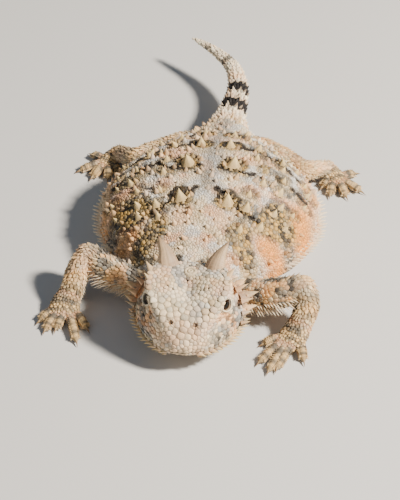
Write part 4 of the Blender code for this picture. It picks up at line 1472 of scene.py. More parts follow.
@dataclass
class ThornRow:
    """Joins many thorns into one piece."""

    sides: int = 10
    rings: int = 7
    ridge: float = 0.22
    blunt: float = 0.03
    power: float = 1.0
    ribs: float = 0.0
    crease: float = 55.0

    def piece(self, name: str, thorns: list[Thorn], low: Rows, high: Rows, surface: "Surface") -> Piece:
        """Makes ridged blades that narrow to fine tips.

        Args:
            name: The piece's name.
            thorns: What to join.
            low: Colour of the feet, one or one a thorn.
            high: Colour of the tips, one or one a thorn.
            surface: The skin they grow from.

        Returns:
            The piece, riding the root body.
        """
        n, sides = len(thorns), self.sides
        root, tip, flat = (np.array([getattr(t, key) for t in thorns]) for key in ("root", "tip", "flat"))
        wide, thick, bend = (np.array([getattr(t, key) for t in thorns]) for key in ("wide", "thick", "bend"))
        along = tip - root
        size = np.linalg.norm(along, axis=1)
        way = along / size[:, None]
        across = unit(np.cross(way, flat))
        up = np.cross(across, way)
        angle = circle(sides)
        t = np.linspace(0, 1, self.rings) ** 0.85
        taper = np.maximum((1 - t) ** self.power, self.blunt)
        keel = 1 + self.ridge * np.cos(2 * angle - np.pi) * (np.sin(angle) > 0)
        rib = 1 + self.ribs * np.cos(6 * angle)
        ring = ovals(across, up, wide[:, None] * rib, thick[:, None] * rib * keel, angle)
        middle = root[:, None] + along[:, None] * t[:, None]
        middle = middle + up[:, None] * ((bend * size)[:, None] * t * (1 - t))[..., None]
        rings = (middle[:, :, None] + ring[:, None] * taper[:, None, None]).reshape(n, -1, 3)
        points = np.concatenate([rings, tip[:, None] + 0.02 * way[:, None], root[:, None]], axis=1)
        share = np.concatenate([np.repeat(t, sides), [1.0, 0.0]])
        low, high = (np.broadcast_to(tone, (n, 3))[:, None] for tone in (low, high))
        # painted shade: six darker stripes round each thorn, where the grooves between its ribs lie
        groove = np.concatenate([np.tile(1 - 0.12 * np.abs(np.sin(3 * angle)), self.rings), [1, 1]])
        colours = mix(low, high, ramp(0.1, 0.9, share)[None]) * groove[None, :, None]
        end = self.rings * sides
        caps = [fan(end - sides, sides, end), fan(0, sides, end + 1, True)]
        faces = repeated(np.concatenate([ring_faces(self.rings, sides), *caps]), end + 2, n)
        spread = np.tile(np.column_stack([np.cos(angle), np.sin(angle)]), (self.rings, 1))
        shrink = np.repeat(np.linspace(1, 0.15, self.rings), sides)[:, None]
        spread = np.concatenate([spread * shrink, np.zeros((2, 2))])
        uv = np.array([surface.uv_near(p) for p in root])[:, None] + UV_REACH * spread
        uv, colours = np.clip(uv, 0, 1).reshape(-1, 2), colours.reshape(-1, 3)
        return make_piece(name, points.reshape(-1, 3), faces, colours, uv, self.crease)


@dataclass
class Surface:
    """Looks up the skin's surface."""

    skin: Skin

    def __post_init__(self) -> None:
        """Builds the search tree."""
        self.tree = BVHTree.FromPolygons(self.skin.points.tolist(), self.skin.faces.tolist())

    def ray(self, start: Rows, toward: Rows) -> tuple[Rows, Rows, int]:
        """Where a ray meets the skin, the outward direction there and the nearest point's number."""
        at, out, face, _ = self.tree.ray_cast(Vector(start), (Vector(toward) - Vector(start)).normalized())
        return np.array(at), np.array(out), self.skin.faces[face][0]

    def under(self, at: tuple) -> tuple[Rows, Rows, int]:
        """The skin right under a place."""
        return self.ray(at, (at[0], at[1], 0))

    def nearest(self, at: tuple) -> tuple[Rows, Rows, int]:
        """The skin nearest to a place."""
        found, out, face, _ = self.tree.find_nearest(Vector(at))
        return np.array(found), np.array(out), self.skin.faces[face][0]

    def uv_near(self, at: Rows) -> Rows:
        """The place on the bake map of the skin nearest to a point."""
        skin, v = self.skin, self.nearest(at)[2]
        return skin.charts.place(skin.owner[v : v + 1], skin.share[v : v + 1], skin.turn[v : v + 1])[0]


@dataclass
class Spines:
    """All large pointed scales: on head, jaw, back, sides, limbs and tail."""

    surface: Surface
    markings: Markings
    seed: int = 7
    head_spines: tuple = (
        # tip, root, half width; the same on both sides
        ((9.2, -34.7, 17.3), (7, -37.2, 14.9), 1.5), ((12.1, -31.4, 12.9), (8.8, -34.2, 11.6), 1.6),
        ((14.6, -32.6, 10.2), (10.2, -35, 9.6), 1.7), ((14.4, -34.2, 7.8), (10.6, -36.4, 7.4), 1.4),
        ((13.4, -36.2, 5.7), (10.4, -38.2, 6), 1.15), ((11.6, -32.6, 12.6), (9.4, -34.4, 11.8), 0.7),
        ((12.8, -33.6, 9), (10.6, -35.6, 8.6), 0.75), ((10.2, -33.6, 14.4), (8.2, -35.2, 13.4), 0.9),
        ((12.9, -35.4, 6.8), (10.6, -37, 6.6), 0.7), ((7.6, -32.6, 14.2), (6.2, -33.8, 13), 0.7),
    )
    jaw_rows: tuple = (-38.6, -48.4)
    jaw_lines: tuple = (
        # height over the jaw, size, count
        (0, 1, 12), (0.8, 0.42, 24), (-0.6, 0.4, 20),
    )
    fringe_rows: tuple = (-19.5, 12.6)
    fringe_step: float = 1.25
    fringe_length: float = 1.8
    back_cones: tuple = (
        # y, share of the half width, height
        (-12.4, 0.21, 2.2), (-0.2, 0.19, 2.3), (9.4, 0.14, 2), (18, 0.20, 1.7),
    )
    cone_lines: tuple = (
        # share of the half width, first y, last y, step, height
        (0.42, -18, 20.5, 4.8, 1.5), (0.62, -16.5, 14, 4.3, 1.5), (0.80, -13, 8.5, 4.3, 1.2),
    )

    def __post_init__(self) -> None:
        """Starts the random draw and works out where the cones of the back stand."""
        self.draw = np.random.default_rng(self.seed)
        self.cones = self.cone_places()

    def tones(self, thorns: list[Thorn], zone: Zone, share: list[float] | None = None) -> Rows:
        """The skin's pigment at the foot of each thorn."""
        roots = np.array([t.root for t in thorns])
        along = np.full(len(roots), 0.5) if share is None else np.array(share)
        return self.markings.at(roots, np.full(len(roots), zone), along)

    def cone_places(self) -> list[tuple[Rows, Rows, float]]:
        """Foot, outward direction and height of each cone of the back."""
        places = [(y, share, height, 0.0) for y, share, height in self.back_cones]
        for share, first, last, step, height in self.cone_lines:
            count = int((last - first) / step) + 1
            places += [(first + i * step, share, height, 1.0) for i in range(count)]
        found = []
        for y, share, height, loose in places:
            for side in SIDES:
                at_y = y + loose * self.draw.uniform(-1.0, 1.0)
                at_share = share + loose * self.draw.uniform(-0.05, 0.05)
                x = side * at_share * FORM.trunk_at(at_y)[0, 0]
                at, out, _ = self.surface.ray((x * 1.25, at_y, 40), (x, at_y, 8))
                found.append((at, out, height * (1 - loose * self.draw.uniform(0, 0.3))))
        return found

    def avoid(self) -> list[tuple[Rows, float]]:
        """Feet and radii that the small scales keep clear of."""
        return [(at, 0.5 * tall + 0.3) for at, _, tall in self.cones]

    def rosettes(self) -> list[tuple[float, float, float, float]]:
        """Place, reach and strength of the dark rosette round each cone."""
        return [(at[0], at[1], 1.05 * tall + 0.9, 1.0 if tall > 1.6 else 0.65) for at, _, tall in self.cones]

    def back(self) -> Piece:
        """The cones of the back, each with a ring of smaller ones at its foot."""
        cream, dark = COLOURS.of("cream"), COLOURS.of("dark")
        base = mix(cream, srgb(142, 110, 74), 0.45)
        thorns, low, high = [], [], []
        for at, out, tall in self.cones:
            lean = unit(out + np.array([0, 0.42, 0]))
            foot, flat = 0.62 * tall + 0.3, np.array([0, 1, 0.1])
            thorns.append(Thorn(at - lean * 0.5, at + lean * tall, foot * 1.05, foot, flat, 0.05))
            low.append(base)
            high.append(cream * 1.08)
            turn = self.draw.uniform(0, 1)
            side = unit(np.cross(out, [0, 1, 0]))
            back = np.cross(side, out)
            for k in range(9):
                a = 2 * np.pi * (k + turn) / 9
                way = side * math.cos(a) + back * math.sin(a)
                root = at + way * foot * self.draw.uniform(0.95, 1.2) - out * 0.3
                small = self.draw.uniform(0.18, 0.36) * tall
                tip = root + unit(out + 0.55 * way + np.array([0, 0.3, 0])) * (small + 0.3)
                thorns.append(Thorn(root, tip, 0.27 * tall, 0.24 * tall, way))
                low.append(mix(base, dark, self.draw.uniform(0.1, 0.8)))
                high.append(low[-1] * 1.5)
        row = ThornRow(18, 8, power=1.12, ribs=0.07)
        return row.piece("back_cones", thorns, np.array(low), np.array(high), self.surface)

    def fringe(self) -> Piece:
        """The rows of pointed scales along the sides."""
        thorns = []
        for row, (lift, size) in enumerate(((0.0, 1.0), (1.2, 0.32), (-1.1, 0.3))):
            y = self.fringe_rows[0] + 0.45 * row
            wide = 0.56 * (0.45 + 0.55 * size)
            while y < self.fringe_rows[1]:
                half, _, edge, _ = FORM.trunk_at(y)[0]
                slope = (FORM.trunk_at(y + 1)[0, 0] - FORM.trunk_at(y - 1)[0, 0]) / 2
                for side in SIDES:
                    out = unit(np.array([side, -slope, 0.0]))
                    z = edge + lift + self.draw.uniform(-0.1, 0.1)
                    outside = (side * (half + 8), y - slope * 8, z)
                    at, _, _ = self.surface.ray(outside, (0, y + slope * half, z))
                    length = self.fringe_length * size * self.draw.uniform(0.8, 1.15)
                    lie = unit(out + np.array([0, 0.42, 0.12 + 0.15 * lift]))
                    thorns.append(Thorn(at - out * 0.5, at + lie * length, wide, 0.7 * wide, UP, 0.1))
                y += self.fringe_step * self.draw.uniform(0.85, 1.15) * (1.0 if row == 0 else 0.9)
        pale = COLOURS.of("white")
        low = mix(pale, COLOURS.of("orange"), self.draw.uniform(0, 0.35, len(thorns)))
        row = ThornRow(9, 8, power=0.62)
        return row.piece("side_fringe", thorns, low, pale * 1.1, self.surface)

    def temples(self) -> Piece:
        """The broad spines of brow and temple, each with small ones round its foot."""
        thorns = []
        for tip, root, half in self.head_spines:
            for side in SIDES:
                a, b = np.array(root) * [side, 1, 1], np.array(tip) * [side, 1, 1]
                up = np.array([-0.5 * side, 0.2, 1.0])
                b = a + (b - a) * (self.draw.uniform(0.74, 0.92) if b[2] < 16 else 1)
                thorns.append(Thorn(a, b, 1.16 * half, 0.72 * half, up, 0.12))
                way = unit(b - a)
                across = unit(np.cross(way, up))
                for angle in np.arange(0, 6.2, 0.62) + self.draw.uniform(0, 0.6):
                    out = across * math.cos(angle) + np.cross(across, way) * math.sin(angle) * 0.7
                    foot = a + way * self.draw.uniform(0.2, 0.9) * half + out * half * 0.86
                    top = foot + unit(way + 0.5 * out) * self.draw.uniform(0.45, 0.9)
                    thorns.append(Thorn(foot, top, 0.30, 0.2, out))
                for apart in (-1.25, 1.2):
                    foot = a + across * half * apart - way * 0.2
                    top = foot + unit(way + 0.25 * across * apart) * half * self.draw.uniform(1.2, 1.9)
                    thorns.append(Thorn(foot, top, 0.52 * half, 0.36 * half, up, 0.1))
        own, share = self.tones(thorns, Zone.HEAD), self.draw.uniform(0.1, 0.5, len(thorns))
        warm = mix(own, srgb(214, 164, 116), share)
        warm = mix(warm, COLOURS.of("flint"), (self.draw.random(len(thorns)) < 0.3) * 0.6)
        row, high = ThornRow(16, 12, 0.16, power=0.92), mix(warm, COLOURS.of("cream"), 0.45)
        return row.piece("temple_spines", thorns, warm, high, self.surface)

    def jaw(self) -> Piece:
        """The row of pointed scales along the lower jaw, with smaller rows above and below."""
        thorns = []
        first, last = self.jaw_rows
        for rise, size, count in self.jaw_lines:
            wide = 0.66 * (0.35 + 0.65 * size)
            for i in range(count):
                y = first + (last - first) * i / (count - 1)
                jaw, jaw_z = FORM.head_at(y)[0, 7:9]
                for side in SIDES:
                    out = unit(np.array([side, -0.8 * i / count, 0]))
                    root = np.array([side * jaw, y, jaw_z + rise]) - out * 0.4
                    length = (2.3 - 0.8 * i / count) * size * self.draw.uniform(0.85, 1.1)
                    tip = root + unit(out + np.array([0, 0.32, -0.1 + 0.2 * rise])) * (length + 0.3)
                    thorns.append(Thorn(root, tip, wide, 0.66 * wide, UP, 0.12))
        low = mix(self.tones(thorns, Zone.HEAD), srgb(190, 152, 112), 0.5)
        return ThornRow(10, 7).piece("jaw_fringe", thorns, low, COLOURS.of("cream"), self.surface)

    def around(self, rows: tuple, span: tuple[float, float], step: float, angles: tuple) -> list[tuple]:
        """Places round a limb or the tail.

        Args:
            rows: The rows of the limb or tail.
            span: Row numbers to start and end at.
            step: Rows between rounds.
            angles: Degrees up from the side of each place.

        Returns:
            Root, outward direction, direction along, half width and row number of each.
        """
        rows = np.asarray(rows, float)
        keys = np.arange(len(rows))
        found = []
        for t in np.arange(*span, step):
            x, y, z, wide, high = curve(keys, rows, t)[0]
            middle = np.array([x, y, z])
            along = unit(curve(keys, rows, t + 0.05)[0, :3] - middle)
            side, up = axes_of(along)
            for angle in angles:
                a = math.radians(angle + self.draw.uniform(-6, 6))
                out = side * math.cos(a) + up * math.sin(a)
                reach = 1 / math.hypot(math.cos(a) / wide, math.sin(a) / high)
                found.append((middle + out * (reach - 0.4), out, along, wide, t))
        return found

    def tail(self) -> Piece:
        """The spikes in rows along the tail."""
        thorns, share = [], []
        rows = FORM.tail
        places = self.around(rows, (1.2, len(rows) - 1.3), 0.2, (0, 36, 68, 112, 144, 180))
        for root, out, along, wide, t in places:
            size = min(wide, 2.4)
            long = 0.15 + 0.26 * size * self.draw.uniform(0.8, 1.15)
            tip = root + unit(out * 0.8 + along) * (long + 0.4)
            thorns.append(Thorn(root, tip, 0.18 * size + 0.1, 0.15 * size + 0.08, out, 0.1))
            share.append(t / (len(rows) - 1))
        low = self.tones(thorns, Zone.TAIL, share)
        return ThornRow(8, 6).piece("tail_spikes", thorns, low, low * 1.3, self.surface)

    def limb_spikes(self) -> Piece:
        """Larger keeled scales that stand out along the limbs."""
        thorns, tones = [], []
        elbow, angles = FORM.elbow, tuple(range(-40, 230, 30))
        for name, (rows, _) in FORM.limbs().items():
            made = []
            for span in ((0.5, elbow - 0.1), (elbow + 0.1, FORM.wrist)):
                for root, out, along, _, _ in self.around(rows, span, 0.15, angles):
                    long = self.draw.uniform(0.3, 0.95)
                    tip = root + unit(out * 0.7 + along) * (long + 0.35)
                    if tip[2] > 0.4:
                        made.append(Thorn(root, tip, 0.36, 0.22, out, 0.05))
            thorns += made
            tones.append(self.tones(made, Zone.ARM if name.startswith("arm") else Zone.LEG))
        low = np.concatenate(tones)
        return ThornRow(7, 5).piece("limb_spikes", thorns, low, low * 1.4, self.surface)

    def arm_fringe(self) -> Piece:
        """The pale close-set spikes along the lower front edge of each upper arm."""
        thorns = []
        for name, front in (("arm_left", 1), ("arm_right", -1)):
            rows = FORM.limbs()[name][0]
            for angle, long in ((-26, 2.0), (-40, 1.7), (-10, 1.2)):
                aim = angle if front > 0 else 180 - angle
                for root, out, along, _, t in self.around(rows, (0.75, 5.3), 0.10, (aim,)):
                    if root[2] < 1.5:
                        continue
                    reach = long * self.draw.uniform(0.75, 1.15) * (1.25 if t < 3 else 0.5)
                    tip = root + unit(out * 0.8 + along * 0.75 - np.array([0, 0, 0.15])) * (reach + 0.4)
                    thorns.append(Thorn(root, tip, 0.30, 0.18, UP, 0.08))
        pale = COLOURS.of("white")
        low = mix(pale, COLOURS.of("limb"), self.draw.uniform(0.1, 0.8, len(thorns)))
        return ThornRow(7, 6).piece("arm_fringe", thorns, low, pale * 1.12, self.surface)


@dataclass
class Horn:
    """One of the two great horns, finely grooved along its length."""

    side: int
    rows: tuple = (
        (4.5, -33.6, 13.9, 2.5, 1.8), (5, -32.6, 15.9, 2.12, 1.48), (5.7, -31.3, 17.5, 1.4, 1.05),
        (6.6, -30.2, 18.8, 0.7, 0.6), (7.3, -29.4, 19.8, 0.07, 0.07),
    )
    sides: int = 64
    count: int = 80
    seed: int = 31

    def build(self) -> Piece:
        """Makes the horn."""
        rows = np.asarray(self.rows) * [self.side, 1, 1, 1, 1]
        keys = np.arange(len(rows))
        at = np.linspace(0, len(rows) - 1, self.count)
        place = curve(keys, rows, at)
        along = unit(np.gradient(place[:, :3], axis=0))
        side, up = axes_of(along)
        angle = circle(self.sides)
        draw = np.random.default_rng(self.seed + self.side)
        groove = sum(draw.uniform(0.4, 1.0) * np.cos(n * angle + draw.uniform(0, 6)) for n in (7, 11, 16, 23))
        groove = 1 + 0.014 * groove[None] * (1 - 0.5 * at[:, None] / at[-1])
        rings = 1 + 0.005 * np.sin(at * 24 + 2 * np.sin(at * 5))[:, None] * (at[:, None] < 2.4)
        scale = (groove * rings)[..., None]
        points = place[:, None, :3] + scale * ovals(side, up, place[:, 3:4], place[:, 4:5], angle)
        # inner marks each horn's inner side, which is painted darker as painted shade
        outer = self.side * (points[..., 0] - place[:, None, 0]) / place[:, 3:4]
        inner = np.concatenate([ramp(0.3, -0.8, outer).ravel(), [0, 0]])
        points, faces = closed_rings(points)
        share = np.concatenate([np.repeat(at / at[-1], self.sides), [0, 1]])
        base = COLOURS.over(
            COLOURS.of("horn"),
            (srgb(200, 170, 138), ramp(0.55, 0.15, share) * 0.7),
            (srgb(118, 98, 84), inner * 0.5),
            (srgb(124, 90, 60), ramp(0.70, 1.0, share) * 0.7),
        )
        streak = np.concatenate([np.tile(draw.normal(0, 0.10, self.sides), self.count), [0, 0]])
        return make_piece(f"{SIDE_WORDS[self.side]}_horn", points, faces, base * (1 + streak[:, None]))


@dataclass
class Eye:
    """An eyeball and the pale rim of its lids."""

    side: int
    skin: Skin
    pupil: float = 0.62
    iris: float = 1.15
    rim: float = 0.15

    def ball(self) -> Piece:
        """The dark wet ball, with a brown ring round the pupil."""
        centre, out, long_way, short_way = self.skin.lid_axes(self.side)
        count, sides = 40, 64
        polar = np.linspace(0.02, np.pi - 0.02, count)
        angle = circle(sides)
        radius = self.skin.eye_radius * (1 + 0.035 * np.exp(-((polar / 0.5) ** 2)))
        around = long_way * np.cos(angle)[:, None] + short_way * np.sin(angle)[:, None]
        rings = centre + radius[:, None, None] * (
            out * np.cos(polar)[:, None, None] + around[None] * np.sin(polar)[:, None, None]
        )
        points, faces = closed_rings(rings[::-1] if self.side > 0 else rings)
        polar = polar[::-1] if self.side > 0 else polar
        ends = [np.pi, 0] if self.side > 0 else [0, np.pi]
        far = np.concatenate([np.repeat(polar, sides), ends]) * self.skin.eye_radius
        ring = ramp(self.pupil, self.pupil + 0.1, far)
        ring = ring * (1 - ramp(self.iris, self.iris + 0.25, far))
        colours = mix(np.broadcast_to(srgb(9, 7, 6), (len(far), 3)), srgb(52, 30, 18), ring * 0.6)
        return make_piece(f"{SIDE_WORDS[self.side]}_eyeball", points, faces, colours)

    def lid_rim(self) -> Piece:
        """The thick pale edge round the opening, heavier above and beaded."""
        centre, out, long_way, short_way = self.skin.lid_axes(self.side)
        count, sides = 120, 12
        t = circle(count)
        u = np.cos(t)
        w = np.sign(np.sin(t)) * (1 - u**2)
        slit = self.skin.slit
        way = out + long_way * (u * slit[0] * 1.05)[:, None] + short_way * (w * slit[1] * 1.10)[:, None]
        way = unit(way)
        thick = self.rim * (1 + 0.10 * np.cos(26 * t)) * (1 + 1.2 * np.maximum(np.sin(t), 0) ** 1.5)
        line = centre + way * (self.skin.lid_shell - 0.03 + 0.4 * (thick - self.rim))[:, None]
        ahead = unit(np.roll(line, -1, 0) - np.roll(line, 1, 0))
        across = unit(np.cross(ahead, way))
        rings = line[:, None] + thick[:, None, None] * ovals(across, way, 1, 1, circle(sides))
        i = np.arange(count * sides).reshape(count, sides)
        j = np.roll(i, -1, 0)
        faces = np.stack([i, np.roll(i, -1, 1), np.roll(j, -1, 1), j], 2).reshape(-1, 4)
        if self.side < 0:
            faces = faces[:, ::-1]
        shade = np.broadcast_to(COLOURS.of("white"), (count * sides, 3))
        return make_piece(f"{SIDE_WORDS[self.side]}_lid_rim", rings.reshape(-1, 3), faces, shade)


@dataclass
class CrownRing:
    """The round scale in the middle of the crown, with its dimple and the ring round it."""

    surface: Surface
    profile: tuple = (
        # distance from the middle, height
        (0.05, -0.02), (0.12, 0.06), (0.20, 0.20), (0.36, 0.26), (0.52, 0.20), (0.62, 0.03),
        (0.72, 0.02), (0.82, 0.20), (1.00, 0.29), (1.20, 0.24), (1.38, 0.06), (1.50, -0.30),
    )
    sides: int = 60

    def build(self) -> Piece:
        """Makes the ring, scalloped into scales."""
        at, out, _ = self.surface.under((*self.surface.skin.crown_ring, ABOVE))
        out = unit(out + UP)
        side = unit(np.cross([0, 1, 0], out))
        back = np.cross(out, side)
        far, high = np.array(self.profile).T[:, :, None]
        angle = circle(self.sides)[None]
        notch = 1 - 0.5 * mound(np.sin(5.5 * angle), 0.22) * (np.abs(far - 1.05) < 0.3)
        flat = side * np.cos(angle)[..., None] + back * np.sin(angle)[..., None]
        points = at + flat * (far * (1 + 0.04 * np.cos(3 * angle)))[..., None]
        points = points + out * (high * notch)[..., None]
        points, faces = closed_rings(points)
        # painted shade: the colour darkens with the profile, in the dimple, the groove and the drop at the
        # edge
        pale = np.interp(far, (0.05, 0.16, 0.5, 0.67, 0.85, 1.5), (0, 1, 1, 0.35, 1, 0.7))
        deep = np.repeat(pale, self.sides)
        base = mix(COLOURS.of("dark"), COLOURS.of("head"), np.concatenate([deep, [0, 1]]))
        return make_piece("crown_ring", points, faces, base)


@dataclass
class Digits:
    """The scaly rings and the claws of all fingers and toes."""

    surface: Surface
    markings: Markings
    radius: float = 0.42
    sides: int = 22
    steps: int = 54
    scutes: int = 10
    seed: int = 17

    def ring_share(self, t: Rows) -> Rows:
        """Turns shares of the ringed stretch into shares of the whole digit."""
        return SCUTES_FROM + (1 - SCUTES_FROM) * t

    def claws(self) -> Piece:
        """The claws, hooked down to the floor."""
        thorns = []
        for root, tip in FORM.claws():
            low_tip = np.array([tip[0], tip[1], 0.16])
            start = root - 0.25 * (low_tip - root)
            thorns.append(Thorn(start, low_tip, self.radius * 1.15, self.radius * 1.25, UP, 0.2))
        base, end = srgb(222, 196, 148), srgb(128, 96, 66)
        return ThornRow(12, 12, 0.1).piece("claws", thorns, base, end, self.surface)

    def fringe(self) -> Piece:
        """The pointed scales along both sides and the top of every finger and toe."""
        thorns, share = [], []
        draw = np.random.default_rng(self.seed)
        for _, digits in FORM.limbs().values():
            for root, tip in digits:
                rows = np.array(FleshBuilder().digit_rows(root, tip))
                along = unit(np.array([tip[0] - root[0], tip[1] - root[1], -0.8]))
                side, _ = axes_of(along)
                for t in np.arange(0.16, 0.9, 0.062):
                    x, y, z, wide, high = curve(np.linspace(0, 1, len(rows)), rows, t)[0]
                    for angle in (-0.1, 0.6, 2.54, 3.24):
                        out = side * math.cos(angle) + np.array([0, 0, math.sin(angle)])
                        foot = np.array([x, y, z]) + out * (0.5 * (wide + high) - 0.15)
                        top = foot + unit(out + 1.1 * along) * draw.uniform(0.45, 0.75)
                        if top[2] > 0.12:
                            thorns.append(Thorn(foot, top, 0.2, 0.14, out))
                            share.append(self.ring_share(t))
        roots = np.array([t.root for t in thorns])
        low = self.markings.at(roots, np.full(len(roots), Zone.HAND), np.array(share))
        return ThornRow(7, 5).piece("digit_fringe", thorns, low, low * 1.3, self.surface)

    def rings(self) -> Piece:
        """Overlapping rings of pointed scales round every finger and toe."""
        builder = FleshBuilder(self.sides)
        points, faces, tones, uv, first = [], [], [], [], 0
        angle = circle(self.sides)
        for _, digits in FORM.limbs().values():
            for root, tip in digits:
                rings = builder.tube_rings(builder.digit_rows(root, tip), self.steps, False)
                share = np.linspace(0, 1, self.steps)
                middle = rings.mean(1, keepdims=True)
                run = (share * self.scutes)[:, None] + 0.5 * (np.cos(angle) > 0)[None]
                rise = (run % 1) ** 1.4
                teeth = 0.45 + 0.55 * np.abs(np.cos(4.5 * angle + np.pi * np.floor(run)))
                swell = 1.02 + 0.17 * rise * teeth
                swell *= (1 - 0.5 * ramp(0.9, 1.0, share))[:, None]
                p, f = closed_rings(middle + (rings - middle) * swell[..., None])
                p[:, 2] = np.maximum(p[:, 2], 0.05)
                along = np.concatenate([np.repeat(share, self.sides), [0, 1]])
                tone = self.markings.at(p, np.full(len(p), Zone.HAND), self.ring_share(along))
                # painted light: each ring of scales is darker where it starts under the edge of the one
                # before, as painted shade, and lighter as it rises
                light = np.concatenate([(0.68 + 0.5 * rise).ravel(), [1, 1]])
                points.append(p)
                faces.append(f + first)
                tones.append(tone * light[:, None])
                turn = np.concatenate([np.tile(angle, self.steps), [0, 0]])
                spot = self.surface.uv_near(middle[self.steps // 2, 0])
                reach = 0.02 * (along[:, None] - 0.5) * [1, 0]
                uv.append(spot + reach + 0.006 * np.column_stack([np.zeros(len(turn)), np.cos(turn)]))
                first += len(p)
        joined = [np.concatenate(rows) for rows in (points, faces, tones, uv)]
        return make_piece("digit_scales", *joined[:3], np.clip(joined[3], 0, 1), 50.0)


def set_inputs(node: bpy.types.Node, values: dict[str, float | tuple]) -> bpy.types.Node:
    """Sets inputs of a node by name."""
    for name, value in values.items():
        node.inputs[name].default_value = value
    return node


@dataclass(frozen=True)
class Finish:
    """A surface whose colour comes from the markings, varied and roughened in fine detail."""

    name: str
    roughness: tuple[float, float]
    grain: float
    bump: float
    vary: float = 0.16
    coat: float = 0.0
    soft: float = 0.0
    specular: float = 0.3

    def material(self) -> bpy.types.Material:
        """Builds the node tree."""
        made = bpy.data.materials.new(self.name)
        made.use_nodes = True
        nodes, links = made.node_tree.nodes, made.node_tree.links
        surface = nodes["Principled BSDF"]
        where = nodes.new("ShaderNodeTexCoord")
        pigment = nodes.new("ShaderNodeAttribute")
        pigment.attribute_name = MARKINGS
        fine = nodes.new("ShaderNodeTexNoise")
        set_inputs(fine, {"Scale": self.grain, "Detail": 6, "Roughness": 0.62})
        shade = nodes.new("ShaderNodeMapRange")
        set_inputs(shade, {"From Min": 0.3, "From Max": 0.7})
        set_inputs(shade, {"To Min": 1 - self.vary, "To Max": 1 + self.vary})
        tint = nodes.new("ShaderNodeVectorMath")
        tint.operation = "SCALE"
        rough = nodes.new("ShaderNodeMapRange")
        set_inputs(rough, {"To Min": self.roughness[0], "To Max": self.roughness[1]})
        bump = set_inputs(nodes.new("ShaderNodeBump"), {"Strength": self.bump, "Distance": 0.12 * MM})
        for output, target in (
            (where.outputs["Object"], fine.inputs["Vector"]),
            (fine.outputs["Fac"], shade.inputs["Value"]),
            (pigment.outputs["Color"], tint.inputs[0]),
            (shade.outputs["Result"], tint.inputs["Scale"]),
            (tint.outputs["Vector"], surface.inputs["Base Color"]),
            (fine.outputs["Fac"], rough.inputs["Value"]),
            (rough.outputs["Result"], surface.inputs["Roughness"]),
            (fine.outputs["Fac"], bump.inputs["Height"]),
            (bump.outputs["Normal"], surface.inputs["Normal"]),
        ):
            links.new(output, target)
        layers = {"Coat Weight": self.coat, "Coat Roughness": 0.06, "Specular IOR Level": self.specular}
        layers |= {"Subsurface Weight": self.soft, "Subsurface Radius": (0.6, 0.3, 0.2)}
        set_inputs(surface, layers | {"Subsurface Scale": 0.5 * MM})
        return made


SKIN_FINISH = Finish("dry_skin", (0.75, 0.95), 2600, 0.5, 0.14)
SCALE_FINISH = Finish("scales", (0.52, 0.82), 3400, 0.5, 0.18)
SPINE_FINISH = Finish("spines", (0.45, 0.70), 2200, 0.45, 0.14, soft=0.04)
HORN_FINISH = Finish("horn", (0.36, 0.58), 1500, 0.4, 0.12, soft=0.05)
CLAW_FINISH = Finish("claw", (0.26, 0.45), 1400, 0.2, 0.10)
EYE_FINISH = Finish("wet_eye", (0.08, 0.16), 3000, 0.02, 0.25, coat=0.10, specular=0.14)


@dataclass
class Studio:
    """The camera, the plain pale floor and the soft lights."""

    azimuth: float = 7.09
    elevation: float = 38.13
    distance: float = 450.0
    target: tuple[float, float, float] = (2.88, -42.0, 27.03)
    lens: float = 162.3
    floor_tone: float = 0.62

    def camera(self) -> None:
        """Looks at the animal from the photograph's side."""
        a, e = math.radians(self.azimuth), math.radians(self.elevation)
        back = Vector((math.sin(a) * math.cos(e), -math.cos(a) * math.cos(e), math.sin(e)))
        data = bpy.data.cameras.new("camera")
        data.lens = self.lens
        data.sensor_width = 36
        data.clip_start = 0.01
        camera = link("camera", data)
        target = Vector((np.array(self.target) + SHIFT) * MM)
        camera.location = target + back * self.distance * MM
        camera.rotation_euler = (-back).to_track_quat("-Z", "Y").to_euler()
        bpy.context.scene.camera = camera

    def floor(self) -> None:
        """A wide pale floor at the level on which the animal rests."""
        bm = bmesh.new()
        bmesh.ops.create_grid(bm, x_segments=1, y_segments=1, size=3.0)
        mesh = bpy.data.meshes.new("floor")
        bm.to_mesh(mesh)
        bm.free()
        pale = bpy.data.materials.new("floor")
        pale.use_nodes = True
        surface = pale.node_tree.nodes["Principled BSDF"]
        set_inputs(surface, {"Base Color": (*[self.floor_tone] * 3, 1), "Roughness": 0.9})
        mesh.materials.append(pale)
        link("floor", mesh)

    def lights(self) -> None:
        """A key light from the animal's left and behind, a weak fill and an even sky."""
        for name, place, size, power, colour in (
            ("key", (0.45, -0.12, 0.46), 0.08, 13.0, (1.0, 0.91, 0.78)),
            ("fill", (-0.35, -0.45, 0.40), 0.60, 0.4, (0.86, 0.93, 1.0)),
        ):
            data = bpy.data.lights.new(name, "AREA")
            data.size, data.energy, data.color = size, power, colour
            light = link(name, data)
            light.location = place
            light.rotation_euler = Vector(place).to_track_quat("Z", "Y").to_euler()
        world = bpy.data.worlds.new("sky")
        world.use_nodes = True
        set_inputs(world.node_tree.nodes["Background"], {"Color": (0.78, 0.88, 1.0, 1), "Strength": 0.17})
        bpy.context.scene.world = world

    def build(self) -> None:
        """Sets up everything round the animal."""
        self.camera()
        self.floor()
        self.lights()


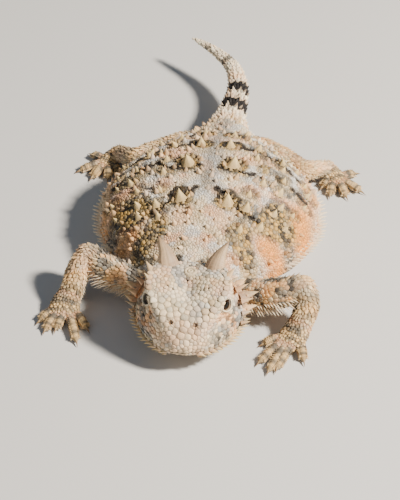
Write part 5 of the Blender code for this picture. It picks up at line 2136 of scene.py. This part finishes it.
@dataclass
class Lizard:
    """The whole animal: skin, scales, spines, horns, eyes and claws."""

    piece_limit: int = 190000

    def __post_init__(self) -> None:
        """Makes the materials."""
        finishes = (SKIN_FINISH, SCALE_FINISH, SPINE_FINISH, HORN_FINISH, CLAW_FINISH, EYE_FINISH)
        self.materials = {finish.name: finish.material() for finish in finishes}

    def dress(self, piece: Piece, finish: Finish) -> None:
        """Gives a piece its material and slot, and reports it."""
        piece.data.materials.append(self.materials[finish.name])
        LOG.info("%s: %d faces", piece.name, len(piece.data.polygons))

    def build(self) -> None:
        """Builds all pieces in order."""
        skin, markings = Skin(), Markings()
        surface = Surface(skin)
        spines = Spines(surface, markings)
        markings.rosettes = spines.rosettes()
        # painted shade: the skin between the scales is dimmed to 0.6 as shade in the gaps, and darkened
        # further by the depth of lid openings and pits
        pigment = markings.at(skin.points, skin.zone, skin.share) * 0.6
        pigment = mix(pigment, COLOURS.of("dark") * 0.6, skin.hollow)
        hide = make_piece("skin", skin.points, skin.faces, pigment, skin.corner_uv())
        self.dress(hide, SKIN_FINISH)
        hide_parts(*[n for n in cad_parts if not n.startswith(("horn", "eye"))])
        self.scales(surface, spines, markings)
        digits = Digits(surface, markings)
        self.dress(digits.rings(), SCALE_FINISH)
        self.dress(CrownRing(surface).build(), SCALE_FINISH)
        for piece in (
            spines.back(), spines.fringe(), spines.temples(), spines.jaw(), spines.tail(),
            spines.limb_spikes(), spines.arm_fringe(), digits.fringe(),
        ):
            self.dress(piece, SPINE_FINISH)
        for side in SIDES:
            horn, eye = Horn(side).build(), Eye(side, skin)
            self.dress(horn, HORN_FINISH)
            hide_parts(f"horn_{SIDE_WORDS[side]}")
            ball = eye.ball()
            self.dress(ball, EYE_FINISH)
            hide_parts(f"eye_{SIDE_WORDS[side]}")
            self.dress(eye.lid_rim(), SPINE_FINISH)
        self.dress(digits.claws(), CLAW_FINISH)

    def scales(self, surface: Surface, spines: Spines, markings: Markings) -> None:
        """Covers the skin with scales, one or more pieces for each form."""
        seeds = ScaleField(surface, markings, spines.avoid()).spread()
        coat = ScaleCoat(seeds, markings)
        for kind in Kind:
            chosen = np.flatnonzero(seeds.kind == kind)
            shape = SHAPES[kind]
            each = 2 * shape.sides * (len(shape.rings) - 1) + 2 * shape.sides - 2
            parts = math.ceil(len(chosen) * each / self.piece_limit)
            chosen = chosen[np.argsort(seeds.place[chosen][:, 1], kind="stable")]
            for number, part in enumerate(np.array_split(chosen, max(parts, 1))):
                self.dress(coat.piece(f"scales_{kind.name.lower()}_{number + 1}", part, kind), SCALE_FINISH)


def main() -> None:
    """Builds the animal and the studio."""
    logging.basicConfig(level=logging.INFO, format="%(message)s")
    Studio().build()
    Lizard().build()


if __name__ == "__main__":
    main()
